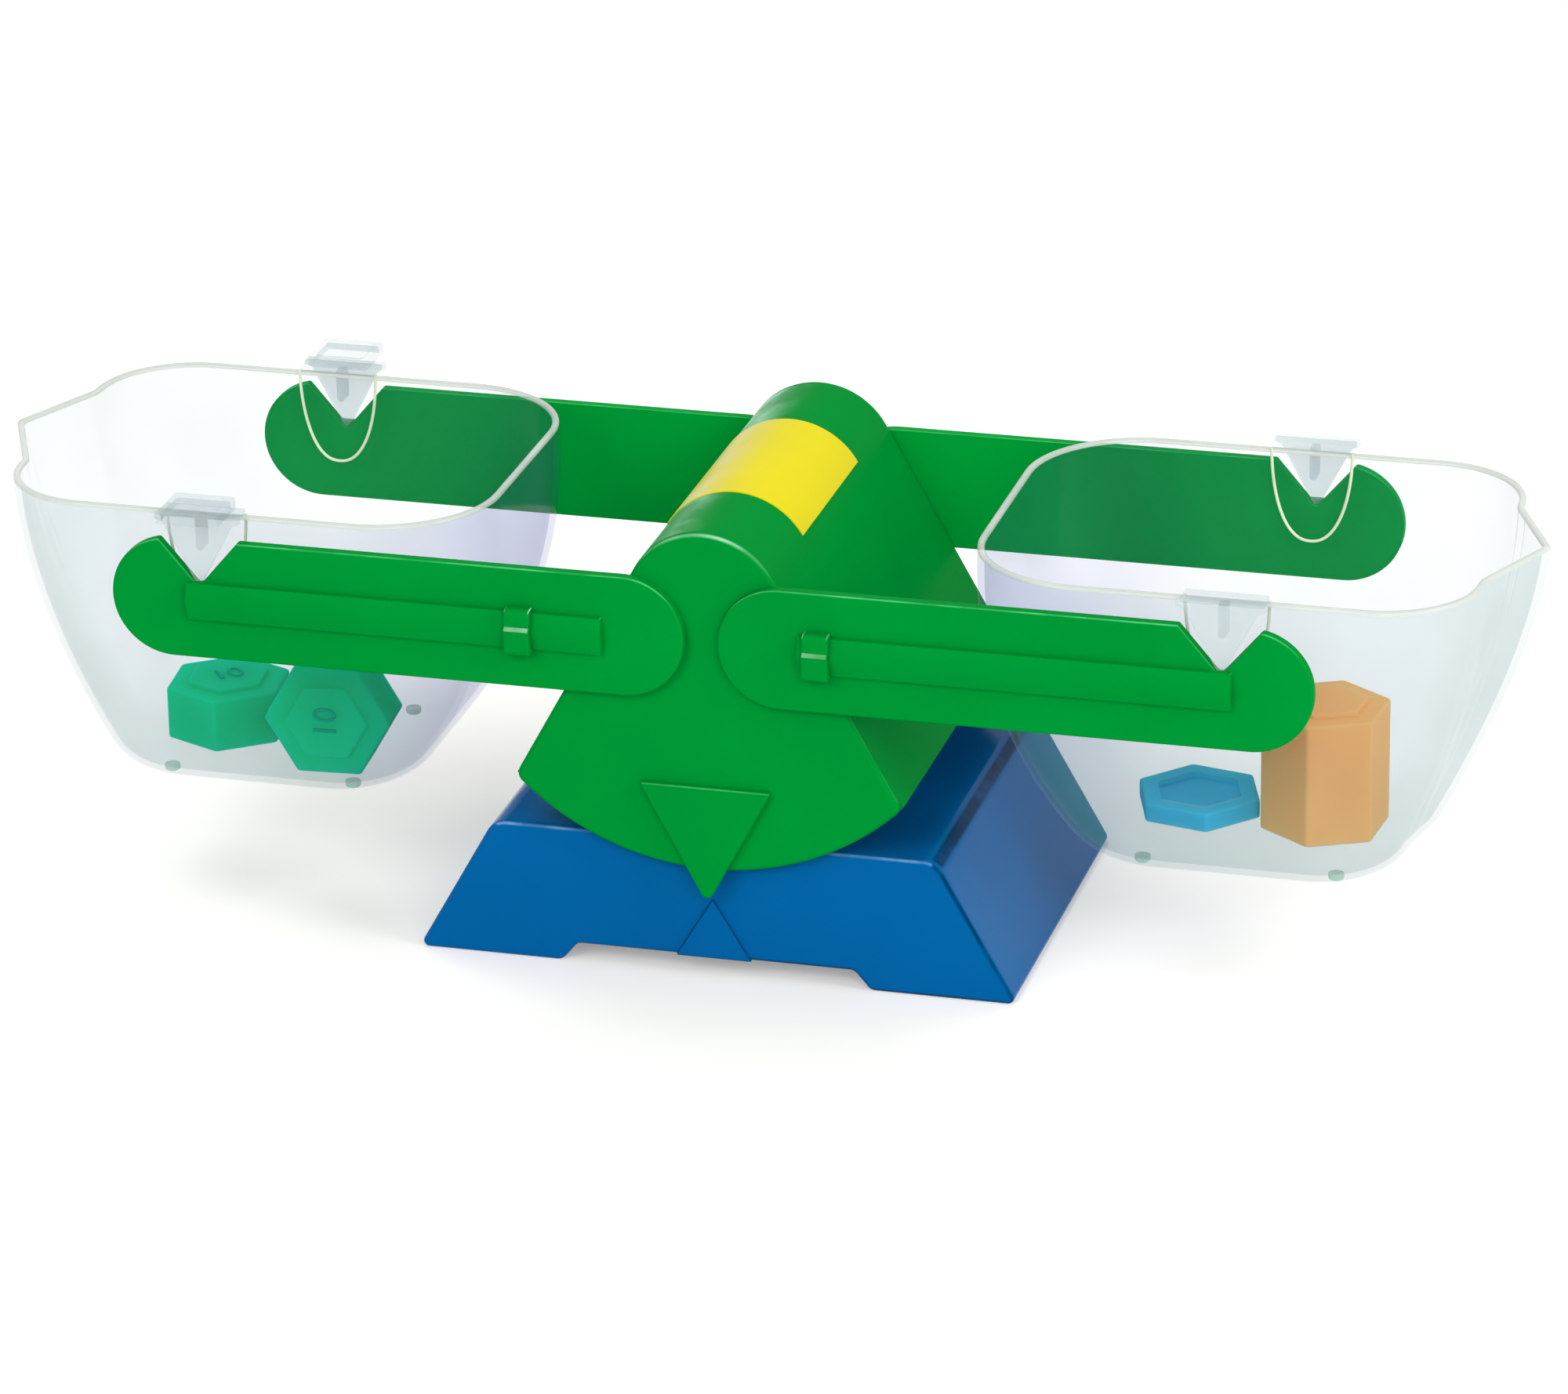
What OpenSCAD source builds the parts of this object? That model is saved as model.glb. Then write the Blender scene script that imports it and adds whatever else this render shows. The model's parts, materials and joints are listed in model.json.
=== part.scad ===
// Bucket balance toy: a rocking beam on a table base, with two hanging clear buckets and four weights.
// X runs along the beam, Y from the front face to the back, Z up. The origin is the middle of the
// base's resting face. Lengths are millimetres, angles are degrees.

/* [Base] */
// Length of the base where it rests on the table
base_l = 156; // [135:1:185]
// Depth of the base from its front face to its back face
base_d = 105; // [85:1:130]
// Height of the base's flat top
base_h = 36.5; // [28:0.5:44]
// Lean of the long sides away from vertical
base_slope = 29.5; // [15:0.5:35]
// Wall of the base
base_wall = 2.5; // [1.6:0.1:4]
// Radius of the two long top edges
base_round = 6; // [2:0.5:9]
// Length of the gap between the feet, at its top
foot_gap_l = 72; // [40:1:100]
// Height of the gap between the feet
foot_gap_h = 5; // [4.5:0.5:9]
// Lean of the ends of that gap away from vertical
foot_gap_slope = 40; // [0:1:55]
// Width of the raised level mark at its foot
mark_w = 20; // [10:0.5:30]
// Height of the raised level mark
mark_h = 16.5; // [8:0.5:20]
// How far the level mark stands proud
mark_proud = 0.8; // [0.4:0.1:1]

/* [Pivot] */
// Height of the beam's pivot above the table
pivot_h = 100; // [92:1:115]
// Diameter of the steel axle
axle_d = 6; // [4:0.5:7]
// Outer diameter of the bearing bushes
bush_d = 10; // [8.5:0.5:12]
// Distance of the middle of each post from the base's front or back face
post_inset = 18.5; // [15:0.5:26]
// Thickness of each post
post_t = 8; // [5:0.5:10]
// Radius of the rounded head of each post
post_head_r = 9; // [7.5:0.5:11]
// Width of the foot of each post
post_foot_w = 34; // [30:1:44]
// Depth of the foot of each post
post_foot_d = 20; // [12:1:26]
// Thickness of the foot of each post
post_foot_t = 3; // [2:0.5:5]
// Distance of each screw from the middle of its post
screw_x = 12; // [9.5:0.5:13]
// Diameter of the screws' shanks
screw_d = 3; // [2.5:0.1:4]
// Length of the screws' shanks
screw_l = 10; // [7:0.5:14]
// Diameter of the screws' heads
screw_head_d = 6; // [5:0.1:8]
// Height of the screws' heads
screw_head_h = 2; // [1.2:0.1:3]
// Outer diameter of the spring clips on the axle
clip_d = 12; // [10:0.5:14]
// Thickness of the spring clips
clip_t = 0.8; // [0.5:0.1:1.5]

/* [Rocker hood] */
// Radius of the round top of the hood
tube_r = 20; // [16:0.5:24]
// Lean of the hood's sides away from vertical
hood_slope = 29; // [20:0.5:34]
// Height of the hood's curved lower edge above the table
hood_low_z = 30.5; // [26:0.5:38]
// Wall of the hood
hood_wall = 2.5; // [1.6:0.1:4]
// Gap between the base and each end plate of the hood
hood_gap = 1.5; // [1.2:0.1:4]
// Diameter of the bosses that hold the axle
boss_d = 12; // [10:0.5:14]
// Length of the bosses that hold the axle
boss_l = 8; // [4:0.5:9]
// Width of the pointer along its top edge
pointer_w = 34; // [20:0.5:44]
// Height of the pointer from its top edge to where its sides would meet
pointer_l = 31.6; // [24:0.2:36]
// How far the pointer's rounded tip hangs below the hood's lower edge
pointer_reach = 6.8; // [2:0.1:10]
// Thickness of the pointer
pointer_t = 2; // [1:0.1:3]
// Diameter of the pointer's fixing pegs
pointer_peg_d = 3; // [2:0.1:4]
// Distance between the pointer's fixing pegs
pointer_peg_pitch = 14; // [8:0.5:18]
// Length of the label along the tube
label_l = 53; // [30:1:80]
// Angle that the label wraps round the tube
label_angle = 120; // [60:1:150]
// Thickness of the label
label_t = 0.3; // [0.2:0.05:0.6]

/* [Arms] */
// Distance from the pivot to each hanging point
hang_x = 130; // [118:1:145]
// How far the hanging points lie below the pivot
hang_drop = 2.1; // [0.5:0.1:4]
// Height of each arm
arm_h = 31.4; // [26:0.2:36]
// Thickness of each arm
arm_t = 3; // [2.8:0.1:5]
// How far the middle of each arm lies below the pivot
arm_drop = 7.5; // [4:0.5:9]
// Distance from the middle of the beam to the inner end of each arm
arm_in_x = 4.3; // [2:0.1:6]
// Length of each arm past its hanging point
arm_tail = 23; // [19:0.5:30]
// Half the opening angle of the hanging notch
notch_angle = 40.5; // [40.5:0.5:50]
// Diameter of the pegs that fix an arm to the hood
peg_d = 5; // [3:0.2:6]
// Distance from the middle of the beam to an arm's inner peg
peg_in_x = 9; // [8:0.5:10]
// Distance between an arm's two pegs
peg_pitch = 10; // [7:0.5:11]
// Distance from the middle of the beam to the inner end of the slider rail
rail_in_x = 25; // [20:0.5:28]
// Length of the slider rail
rail_l = 108; // [80:1:118]
// Height of the rail's head
rail_h = 9.6; // [8:0.2:11]
// How far the rail stands proud of the arm
rail_proud = 3.2; // [2.6:0.1:4]
// How far the rail's edges lie behind its ridge
rail_bevel = 0.8; // [0.3:0.1:1]
// Height of the neck behind the rail's head
neck_h = 6.4; // [4:0.2:7]
// Depth of the neck behind the rail's head
neck_t = 1.5; // [1.2:0.1:1.7]

/* [Sliders] */
// Width of each balancing slider along its rail
slider_w = 6.6; // [5:0.2:10]
// Height of each balancing slider
slider_h = 12; // [11.8:0.2:16]
// How far each slider stands proud of the arm
slider_d = 4.6; // [4.4:0.1:8]
// Place of the left slider, from the middle of the beam
left_slider_x = 46; // [35:0.5:100]
// Place of the right slider, from the middle of the beam
right_slider_x = 30; // [30:0.5:100]

/* [Buckets] */
// Gap between a bucket's rim and the hood's end plates
bucket_gap = 3.5; // [2.5:0.1:6]
// Length of a bucket from its hanging point to its inner end
bucket_in_l = 68; // [60:0.5:74]
// Length of a bucket from its hanging point to the tip of its spout
bucket_tip_l = 70; // [64:0.5:78]
// How far the spout's tip stands out from the bucket's end wall
spout_l = 11.5; // [6:0.5:16]
// How far the spout still stands out at the floor
floor_spout_l = 3; // [2:0.5:6]
// Width of the spout where it leaves the end wall, as a share of the bucket's width
spout_share = 0.49; // [0.3:0.01:0.52]
// That share at the floor
floor_spout_share = 0.41; // [0.3:0.01:0.44]
// Radius where the spout leaves the end wall
spout_root_r = 10; // [4:0.5:14]
// Height of a bucket from its underside to its rim
bucket_h = 81.5; // [74:0.5:84]
// How far the rim lies above the hanging point
rim_rise = 15.4; // [14.5:0.1:18]
// Wall of a bucket
bucket_wall = 1.8; // [1.2:0.1:2.4]
// Thickness of a bucket's floor
floor_t = 2; // [1.4:0.1:3]
// How far the inner end draws in from the rim to the floor
taper_in = 27; // [15:0.5:28]
// How far each side draws in from the rim to the floor
taper_side = 16; // [8:0.5:18]
// How far the spout draws in from the rim to the floor
taper_tip = 30; // [20:0.5:31]
// Corner radius of the rim at the inner end
rim_corner_r = 30; // [18:0.5:36]
// Corner radius of the floor
floor_corner_r = 20; // [14:0.5:26]
// Radius of the spout's tip
tip_r = 3; // [2.5:0.5:6]
// Radius between the walls and the floor
bottom_round = 7; // [4:0.5:9]
// Diameter of the small feet under a bucket
nub_d = 4; // [2:0.2:6]
// Height of the small feet under a bucket
nub_h = 1.6; // [0.8:0.1:2.4]
// Distance between the small feet along the beam
nub_pitch_x = 49; // [30:1:50]
// Distance between the small feet across the beam
nub_pitch_y = 50; // [26:1:51]

/* [Hangers] */
// Width of a hanger
hanger_w = 20.8; // [18:0.2:24]
// Length of the tongue that sits in the bucket's wall
tongue_l = 24; // [18:0.5:28]
// Thickness of the shelf over the rim
shelf_t = 1.5; // [1:0.1:2.2]
// Thickness of the pointed hanging plate
blade_t = 2; // [1.4:0.1:2.2]
// Half the angle of the pointed hanging plate
blade_angle = 28; // [22:0.5:28]
// Radius of the hanging plate's lower tip
knife_r = 1.2; // [0.8:0.1:1.6]
// Height of the two ears at the top of the hanging plate
ear_h = 2.4; // [1.6:0.1:3]
// Thickness of the rib under the shelf
rib_t = 2; // [1.4:0.1:3]
// Depth of the rib under the shelf
rib_h = 9; // [5:0.5:10]
// Width of a hanger cap
cap_w = 16.2; // [12:0.2:18]
// Depth of a hanger cap
cap_d = 15; // [11:0.5:18]
// Height of a hanger cap
cap_h = 2.8; // [2:0.1:4]
// Wall of a hanger cap
cap_wall = 1; // [0.7:0.1:1.4]
// Diameter of the hole in a hanger cap
cap_hole_d = 1.6; // [0.8:0.1:3]

/* [Weights] */
// Width of a weight across its flats
weight_flats = 28.8; // [22:0.2:29]
// Height of the two middling weights
weight_h = 14; // [10:0.5:15]
// Height of the thin weight
thin_weight_h = 5; // [3:0.5:8]
// Height of the tall weight
tall_weight_h = 32.4; // [24:0.2:40]
// Depth of the hollow under the tall weight
tall_hollow_h = 19.3; // [4:0.1:26]
// Width across the flats of the raised stacking step
step_flats = 19; // [12:0.5:20]
// Height of the raised stacking step
step_h = 1.2; // [0.8:0.1:1.8]
// Distance from the hanging point out to the upright weight
upright_weight_x = 14; // [11:0.5:16]
// Distance of the upright weight in front of the bucket's middle
upright_weight_front = 4; // [0:0.5:8]
// Distance of the lying weight from the rounding at the front of the bucket's floor
lying_weight_inset = 3; // [2:0.5:10]
// Distance from the hanging point in to the thin weight
thin_weight_x = 17.5; // [13:0.5:18]
// Gap between neighbouring weights
weight_gap = 1; // [0.6:0.1:1.2]

/* [Hidden] */
// Running clearance of a round pin, on the radius
run_gap = 0.05;
// Clearance of a pushed-in pin or bush, on the radius
push_gap = 0.02;
// Clearance round the pegs, the screws and the bucket's tongues
fit_gap = 0.1;
// Clearance of the sliders on their rails
slide_gap = 0.25;
// Gap between the weights and the bucket's floor
rest_gap = 0.1;
// Clearance of the stacking steps
stack_gap = 0.4;
// Side play between a clip and its post
side_play = 0.4;
// How far the arms' and pointer's pegs stand out inside the hood
peg_end = 0.8;
// Overrun of every cut past the face that it opens
over = 1;
// Radius of the pointer's lower tip
pointer_tip_r = 1.6;
// Depth of the drive recess in a screw's head, as a share of the head
recess_depth_share = 0.5;
// Arm lengths of that recess, as shares of the head
recess_shares = [0.6, 0.16];
// Distance of the hood's sides from the pivot, as a share of its round top's radius
side_share = 0.997;
// Opening of a spring clip, as a share of the axle
clip_mouth_share = 0.75;
// Curve of the bucket's walls and of its spout from the rim to the floor
wall_power = 2.4;
spout_power = 1.5;
// Steps of the bucket's corners, its bottom radius and its walls
corner_steps = 8;
tip_steps = 3;
round_steps = 4;
wall_steps = 8;
// Turns of the weights as they lie in the buckets
upright_turn = -36;
lying_turn = 4;
thin_turn = -12;
tall_turn = 25;

post_y = base_d / 2 - post_inset;
sweep_r = pivot_h - hood_low_z;
beam_gap_y = base_d / 2 + hood_gap;
plate_y = beam_gap_y + hood_wall;
arm_y = plate_y + arm_t;
arm_r = arm_h / 2;
arm_end_x = hang_x + arm_tail;
blade_y = plate_y + arm_t / 2;
bucket_half = plate_y - bucket_gap;
floor_half = bucket_half - taper_side - bottom_round;
floor_z = rim_rise - bucket_h;
weight_z = floor_z + floor_t + rest_gap;
weight_r = weight_flats / 2 / cos(30);
step_hollow_h = step_h + stack_gap;
base_inner_half = base_l / 2 - base_wall / cos(base_slope) - over * tan(base_slope);
pointer_half_angle = atan(pointer_w / 2 / pointer_l);
pointer_round_z = pointer_tip_r - sweep_r - pointer_reach;
pointer_top_z = pointer_round_z - pointer_tip_r / sin(pointer_half_angle) + pointer_l;
peg_xs = [peg_in_x, peg_in_x + peg_pitch];

green = [0, 0.58, 0.21];
blue = [0.04, 0.36, 0.64];
yellow = [0.96, 0.88, 0.08];
clear = [0.86, 0.89, 0.92, 0.4];
steel = [0.75, 0.76, 0.78];
ivory = [0.93, 0.92, 0.86];
teal = [0, 0.68, 0.49];
sky = [0.2, 0.52, 0.78];
orange = [0.97, 0.6, 0.28];

$fn = 72;

// Helpers that place and extrude outlines
// Extrudes an outline drawn in X and Z along Y, from y0 to y1
module along_y(y0, y1) {
    translate([0, y1, 0])
        rotate([90, 0, 0])
            linear_extrude(y1 - y0)
                children();
}

// Extrudes an outline drawn in Y and Z along X, from x0 to x1
module along_x(x0, x1) {
    translate([x0, 0, 0])
        rotate([90, 0, 90])
            linear_extrude(x1 - x0)
                children();
}

// A round rod along Y
module rod_y(r, y0, y1) {
    translate([0, y1, 0])
        rotate([90, 0, 0])
            cylinder(r = r, h = y1 - y0);
}

module at_pivot() {
    translate([0, 0, pivot_h])
        children();
}

// Side 1 is right, side -1 is the mirrored left
module on_side(side) {
    mirror([side < 0 ? 1 : 0, 0, 0])
        children();
}

// Face 1 is the back, face -1 is the mirrored front
module on_face(face) {
    mirror([0, face < 0 ? 1 : 0, 0])
        children();
}

// The frame of a bucket, with its hanging point at the origin and its spout towards X
module at_hang(side) {
    on_side(side)
        translate([hang_x, 0, pivot_h - hang_drop])
            children();
}

// Base
// The end outline of the base, drawn in by a wall, with its two top edges rounded
module base_outline(inset) {
    top = base_h - inset;
    foot = base_l / 2 - inset / cos(base_slope);
    shoulder = foot - top * tan(base_slope);
    r = max(base_round - inset, base_wall / 2);
    cut = r * tan((90 - base_slope) / 2);
    side = [shoulder + cut * sin(base_slope), top - cut * cos(base_slope)];
    polygon([[-foot, 0], [foot, 0], side, [shoulder - cut, top], [cut - shoulder, top],
        [-side.x, side.y]]);
    for (s = [-1, 1])
        translate([s * (shoulder - cut), top - r])
            circle(r);
}

module foot_gap_outline() {
    half = foot_gap_l / 2;
    spread = foot_gap_h * tan(foot_gap_slope);
    polygon([[-half - spread, 0], [-half, foot_gap_h], [half, foot_gap_h], [half + spread, 0],
        [half + spread, -over], [-half - spread, -over]]);
}

module screw_places() {
    for (y = [-post_y, post_y], x = [-screw_x, screw_x])
        translate([x, y, 0])
            children();
}

module base_shell() {
    color(blue)
    difference() {
        union() {
            along_y(-base_d / 2, base_d / 2)
                base_outline(0);
            along_y(-base_d / 2 - mark_proud, 0)
                polygon([[-mark_w / 2, foot_gap_h], [mark_w / 2, foot_gap_h], [0, foot_gap_h + mark_h]]);
        }
        along_y(-base_d / 2 + base_wall, base_d / 2 - base_wall) {
            base_outline(base_wall);
            translate([-base_inner_half, -over])
                square([2 * base_inner_half, 2 * over]);
        }
        along_y(-base_d / 2 - mark_proud - over, base_d / 2 + over)
            foot_gap_outline();
        screw_places()
            translate([0, 0, base_h - base_wall - over])
                cylinder(r = screw_d / 2 + fit_gap, h = base_wall + 2 * over);
    }
}

// Pivot
module post(face) {
    color(blue)
    translate([0, face * post_y, 0])
        difference() {
            union() {
                along_y(-post_t / 2, post_t / 2)
                    polygon([[-post_foot_w / 2, base_h], [post_foot_w / 2, base_h], [post_head_r, pivot_h],
                        [-post_head_r, pivot_h]]);
                translate([0, 0, pivot_h])
                    rod_y(post_head_r, -post_t / 2, post_t / 2);
                translate([-post_foot_w / 2, -post_foot_d / 2, base_h])
                    cube([post_foot_w, post_foot_d, post_foot_t]);
            }
            translate([0, 0, pivot_h])
                rod_y(bush_d / 2 + push_gap, -post_t / 2 - over, post_t / 2 + over);
            for (x = [-screw_x, screw_x])
                translate([x, 0, base_h - over])
                    cylinder(r = screw_d / 2 + push_gap, h = screw_l - base_wall + 2 * over);
        }
}

module front_post() {
    post(-1);
}

module rear_post() {
    post(1);
}

module bush(face) {
    color(ivory)
    translate([0, face * post_y, pivot_h])
        difference() {
            rod_y(bush_d / 2, -post_t / 2, post_t / 2);
            rod_y(axle_d / 2 + run_gap, -post_t / 2 - over, post_t / 2 + over);
        }
}

module front_bush() {
    bush(-1);
}

module rear_bush() {
    bush(1);
}

module post_screws() {
    head_z = base_h - base_wall - screw_head_h;
    recess = screw_head_h * recess_depth_share;
    recess_l = screw_head_d * recess_shares[0];
    recess_w = screw_head_d * recess_shares[1];
    color(steel)
    screw_places()
        difference() {
            union() {
                translate([0, 0, head_z])
                    cylinder(r = screw_head_d / 2, h = screw_head_h);
                translate([0, 0, head_z])
                    cylinder(r = screw_d / 2, h = screw_head_h + screw_l);
            }
            for (turn = [0, 90])
                rotate([0, 0, turn])
                    translate([-recess_l / 2, -recess_w / 2, head_z - over])
                        cube([recess_l, recess_w, recess + over]);
        }
}

module pivot_axle() {
    half = beam_gap_y - side_play;
    color(steel)
    at_pivot()
        rod_y(axle_d / 2, -half, half);
}

module axle_clips() {
    y = post_y - post_t / 2 - side_play;
    mouth = axle_d * clip_mouth_share;
    color(steel)
    at_pivot()
        for (face = [-1, 1])
            on_face(face)
                difference() {
                    rod_y(clip_d / 2, y - clip_t, y);
                    rod_y(axle_d / 2 + push_gap, y - clip_t - over, y + over);
                    translate([-mouth / 2, y - clip_t - over, -clip_d])
                        cube([mouth, clip_t + 2 * over, clip_d]);
                }
}

// Rocker hood
// The end outline of the hood about the pivot: a round top, two straight sides and a swept lower edge
module hood_outline(inset, lower_r) {
    r = tube_r - inset;
    reach = lower_r * 2;
    start = side_share * r * [cos(hood_slope), sin(hood_slope)];
    end = start + reach * [sin(hood_slope), -cos(hood_slope)];
    circle(r);
    intersection() {
        circle(lower_r);
        polygon([start, end, [-end.x, end.y], [-start.x, start.y]]);
    }
}

module pointer_pegs(r, y0, y1) {
    z = pointer_top_z - pointer_peg_d;
    for (x = [-pointer_peg_pitch / 2, pointer_peg_pitch / 2])
        translate([x, 0, z])
            rod_y(r, y0, y1);
}

module rocker_hood() {
    color(green)
    at_pivot()
        difference() {
            union() {
                difference() {
                    along_y(-plate_y, plate_y)
                        hood_outline(0, sweep_r);
                    along_y(-beam_gap_y, beam_gap_y)
                        hood_outline(hood_wall, sweep_r + over);
                }
                for (face = [-1, 1])
                    on_face(face)
                        rod_y(boss_d / 2, beam_gap_y - boss_l, beam_gap_y + hood_wall / 2);
            }
            rod_y(axle_d / 2 + push_gap, -beam_gap_y, beam_gap_y);
            for (face = [-1, 1], side = [-1, 1], x = peg_xs)
                on_face(face)
                    translate([side * x, 0, -arm_drop])
                        rod_y(peg_d / 2 + fit_gap, beam_gap_y - over, plate_y + over);
            pointer_pegs(pointer_peg_d / 2 + fit_gap, -plate_y - over, -beam_gap_y + over);
        }
}

module pointer() {
    side_x = pointer_tip_r * cos(pointer_half_angle);
    side_z = pointer_round_z - pointer_tip_r * sin(pointer_half_angle);
    color(green)
    at_pivot() {
        along_y(-plate_y - pointer_t, -plate_y)
            union() {
                polygon([[-pointer_w / 2, pointer_top_z], [pointer_w / 2, pointer_top_z],
                    [side_x, side_z], [-side_x, side_z]]);
                translate([0, pointer_round_z])
                    circle(pointer_tip_r);
            }
        pointer_pegs(pointer_peg_d / 2, -plate_y, -beam_gap_y + peg_end);
    }
}

module label() {
    color(yellow)
    at_pivot()
        translate([0, label_l / 2, 0])
            rotate([90, label_angle / 2 - 90, 0])
                rotate_extrude(angle = label_angle)
                    translate([tube_r + push_gap, 0])
                        square([label_t, label_l]);
}

// Arms and their sliders
// The V of a notch or blade about the hanging point, up to a height, with a round tip
module vee_outline(half_angle, r, top) {
    x = r / cos(half_angle) + top * tan(half_angle);
    polygon([[r * cos(half_angle), -r * sin(half_angle)], [x, top], [-x, top],
        [-r * cos(half_angle), -r * sin(half_angle)]]);
    circle(r);
}

module arm_outline() {
    difference() {
        union() {
            translate([arm_in_x + arm_r, -arm_drop - arm_r])
                square([arm_end_x - arm_in_x - arm_h, arm_h]);
            for (x = [arm_in_x + arm_r, arm_end_x - arm_r])
                translate([x, -arm_drop])
                    circle(arm_r);
        }
        translate([hang_x, -hang_drop])
            vee_outline(notch_angle, knife_r + run_gap, arm_r + hang_drop + over);
    }
}

// The rail's head in section, grown by a gap, with the arm's face at zero
module rail_head_outline(gap) {
    half = rail_h / 2 + gap;
    polygon([[neck_t - gap, -half], [rail_proud - rail_bevel + gap, -half], [rail_proud + gap, 0],
        [rail_proud - rail_bevel + gap, half], [neck_t - gap, half]]);
}

module arm(face, side) {
    color(green)
    at_pivot()
        on_face(face)
            on_side(side) {
                along_y(plate_y, arm_y)
                    arm_outline();
                translate([0, arm_y, -arm_drop])
                    along_x(rail_in_x, rail_in_x + rail_l) {
                        rail_head_outline(0);
                        translate([0, -neck_h / 2])
                            square([neck_t, neck_h]);
                    }
                for (x = peg_xs)
                    translate([x, 0, -arm_drop])
                        rod_y(peg_d / 2, beam_gap_y - peg_end, plate_y);
            }
}

module front_left_arm() {
    arm(-1, -1);
}

module front_right_arm() {
    arm(-1, 1);
}

module rear_left_arm() {
    arm(1, -1);
}

module rear_right_arm() {
    arm(1, 1);
}

module slider(side, x) {
    color(green)
    at_pivot()
        on_face(-1)
            on_side(side)
                translate([x, arm_y, -arm_drop])
                    along_x(-slider_w / 2, slider_w / 2)
                        difference() {
                            translate([slide_gap, -slider_h / 2])
                                square([slider_d - slide_gap, slider_h]);
                            rail_head_outline(slide_gap);
                            translate([-over, -neck_h / 2 - slide_gap])
                                square([neck_t + 2 * over, neck_h + 2 * slide_gap]);
                        }
}

module left_slider() {
    slider(-1, left_slider_x);
}

module right_slider() {
    slider(1, right_slider_x);
}

// Buckets
function unit(v) = v / norm(v);

// Points of the round at corner b, with its neighbours a and c
function corner_arc(a, b, c, r, steps) =
    let (
        u = unit(a - b),
        w = unit(c - b),
        half = acos(u * w) / 2,
        middle = b + unit(u + w) * r / sin(half),
        first = b + u * r / tan(half) - middle,
        start = atan2(first.y, first.x),
        turn = sign(cross(w, u)) * (180 - 2 * half)
    )
    [for (k = [0 : steps]) middle + r * [cos(start + turn * k / steps), sin(start + turn * k / steps)]];

// One level ring of a bucket at depth share d, from 0 at the rim to 1 at the floor, drawn in by inset.
// Each shoulder's round runs from the side to where the spout leaves the end wall.
function bucket_ring(d, inset, z) =
    let (
        draw = pow(d, wall_power),
        half = bucket_half - taper_side * draw,
        jut = spout_l + (floor_spout_l - spout_l) * d,
        root = half * (spout_share + (floor_spout_share - spout_share) * d),
        lean = atan(jut / root),
        side = half - inset,
        inner = taper_in * draw - bucket_in_l + inset,
        reach = bucket_tip_l - taper_tip * pow(d, spout_power),
        tip = reach - inset / cos(lean),
        end = reach - jut - inset,
        root_y = root - inset * tan(lean / 2),
        root_r = spout_root_r + inset,
        in_r = rim_corner_r + (floor_corner_r - rim_corner_r) * d - inset,
        out_r = side - root_y - root_r * tan(lean / 2),
        plan = [[inner, -side], [end, -side], [end, -root_y], [tip, 0], [end, root_y], [end, side],
            [inner, side]],
        radii = [in_r, out_r, root_r, tip_r, root_r, out_r, in_r],
        steps = [corner_steps, corner_steps, tip_steps, tip_steps, tip_steps, corner_steps, corner_steps],
        n = len(plan)
    )
    [for (i = [0 : n - 1])
        each [for (p = corner_arc(plan[(i + n - 1) % n], plan[i], plan[(i + 1) % n], radii[i], steps[i]))
            [p.x, p.y, z]]];

// Rings from the foot of a wall to the rim, drawn in by a wall, over a floor and a bottom radius
function bucket_wall_rings(inset, foot, r) =
    let (
        turns = [for (k = [0 : round_steps]) 90 * k / round_steps],
        curve = [for (turn = turns) [r * (1 - sin(turn)), r * (1 - cos(turn))]],
        lift = [for (k = [1 : wall_steps]) [0, r + (bucket_h - foot - r) * k / wall_steps]]
    )
    [for (p = concat(curve, lift))
        bucket_ring(1 - (foot + p.y) / bucket_h, inset + p.x, floor_z + foot + p.y)];

// A closed skin over a stack of rings, from the first ring's cap to the last one's
module ring_skin(rings) {
    n = len(rings[0]);
    last = len(rings) - 1;
    polyhedron(
        points = [for (ring = rings, p = ring) p],
        faces = concat(
            [[for (i = [0 : n - 1]) i], [for (i = [n - 1 : -1 : 0]) last * n + i]],
            [for (j = [0 : last - 1], i = [0 : n - 1])
                each [[j * n + i, (j + 1) * n + i, j * n + (i + 1) % n],
                    [j * n + (i + 1) % n, (j + 1) * n + i, (j + 1) * n + (i + 1) % n]]]));
}

// The U of a hanger's tongue, grown by a gap
module tongue_outline(gap, top) {
    r = hanger_w / 2 + gap;
    low = rim_rise - tongue_l + hanger_w / 2;
    translate([0, low])
        circle(r);
    translate([-r, low])
        square([2 * r, top - low]);
}

module bucket(side) {
    outer = bucket_wall_rings(0, 0, bottom_round);
    inner = bucket_wall_rings(bucket_wall, floor_t, max(bottom_round - bucket_wall, bucket_wall));
    inner_down = [for (k = [len(inner) - 1 : -1 : 0]) inner[k]];
    mid_x = (bucket_tip_l - taper_tip - floor_spout_l - bucket_in_l + taper_in) / 2;
    color(clear)
    at_hang(side) {
        difference() {
            ring_skin(concat(outer, inner_down));
            for (face = [-1, 1])
                on_face(face)
                    along_y(bucket_half / 2, bucket_half + over)
                        tongue_outline(fit_gap, rim_rise + over);
        }
        for (x = [-nub_pitch_x / 2, nub_pitch_x / 2], y = [-nub_pitch_y / 2, nub_pitch_y / 2])
            translate([mid_x + x, y, floor_z - nub_h])
                cylinder(r = nub_d / 2, h = nub_h + floor_t / 2);
    }
}

module left_bucket() {
    bucket(-1);
}

module right_bucket() {
    bucket(1);
}

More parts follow.
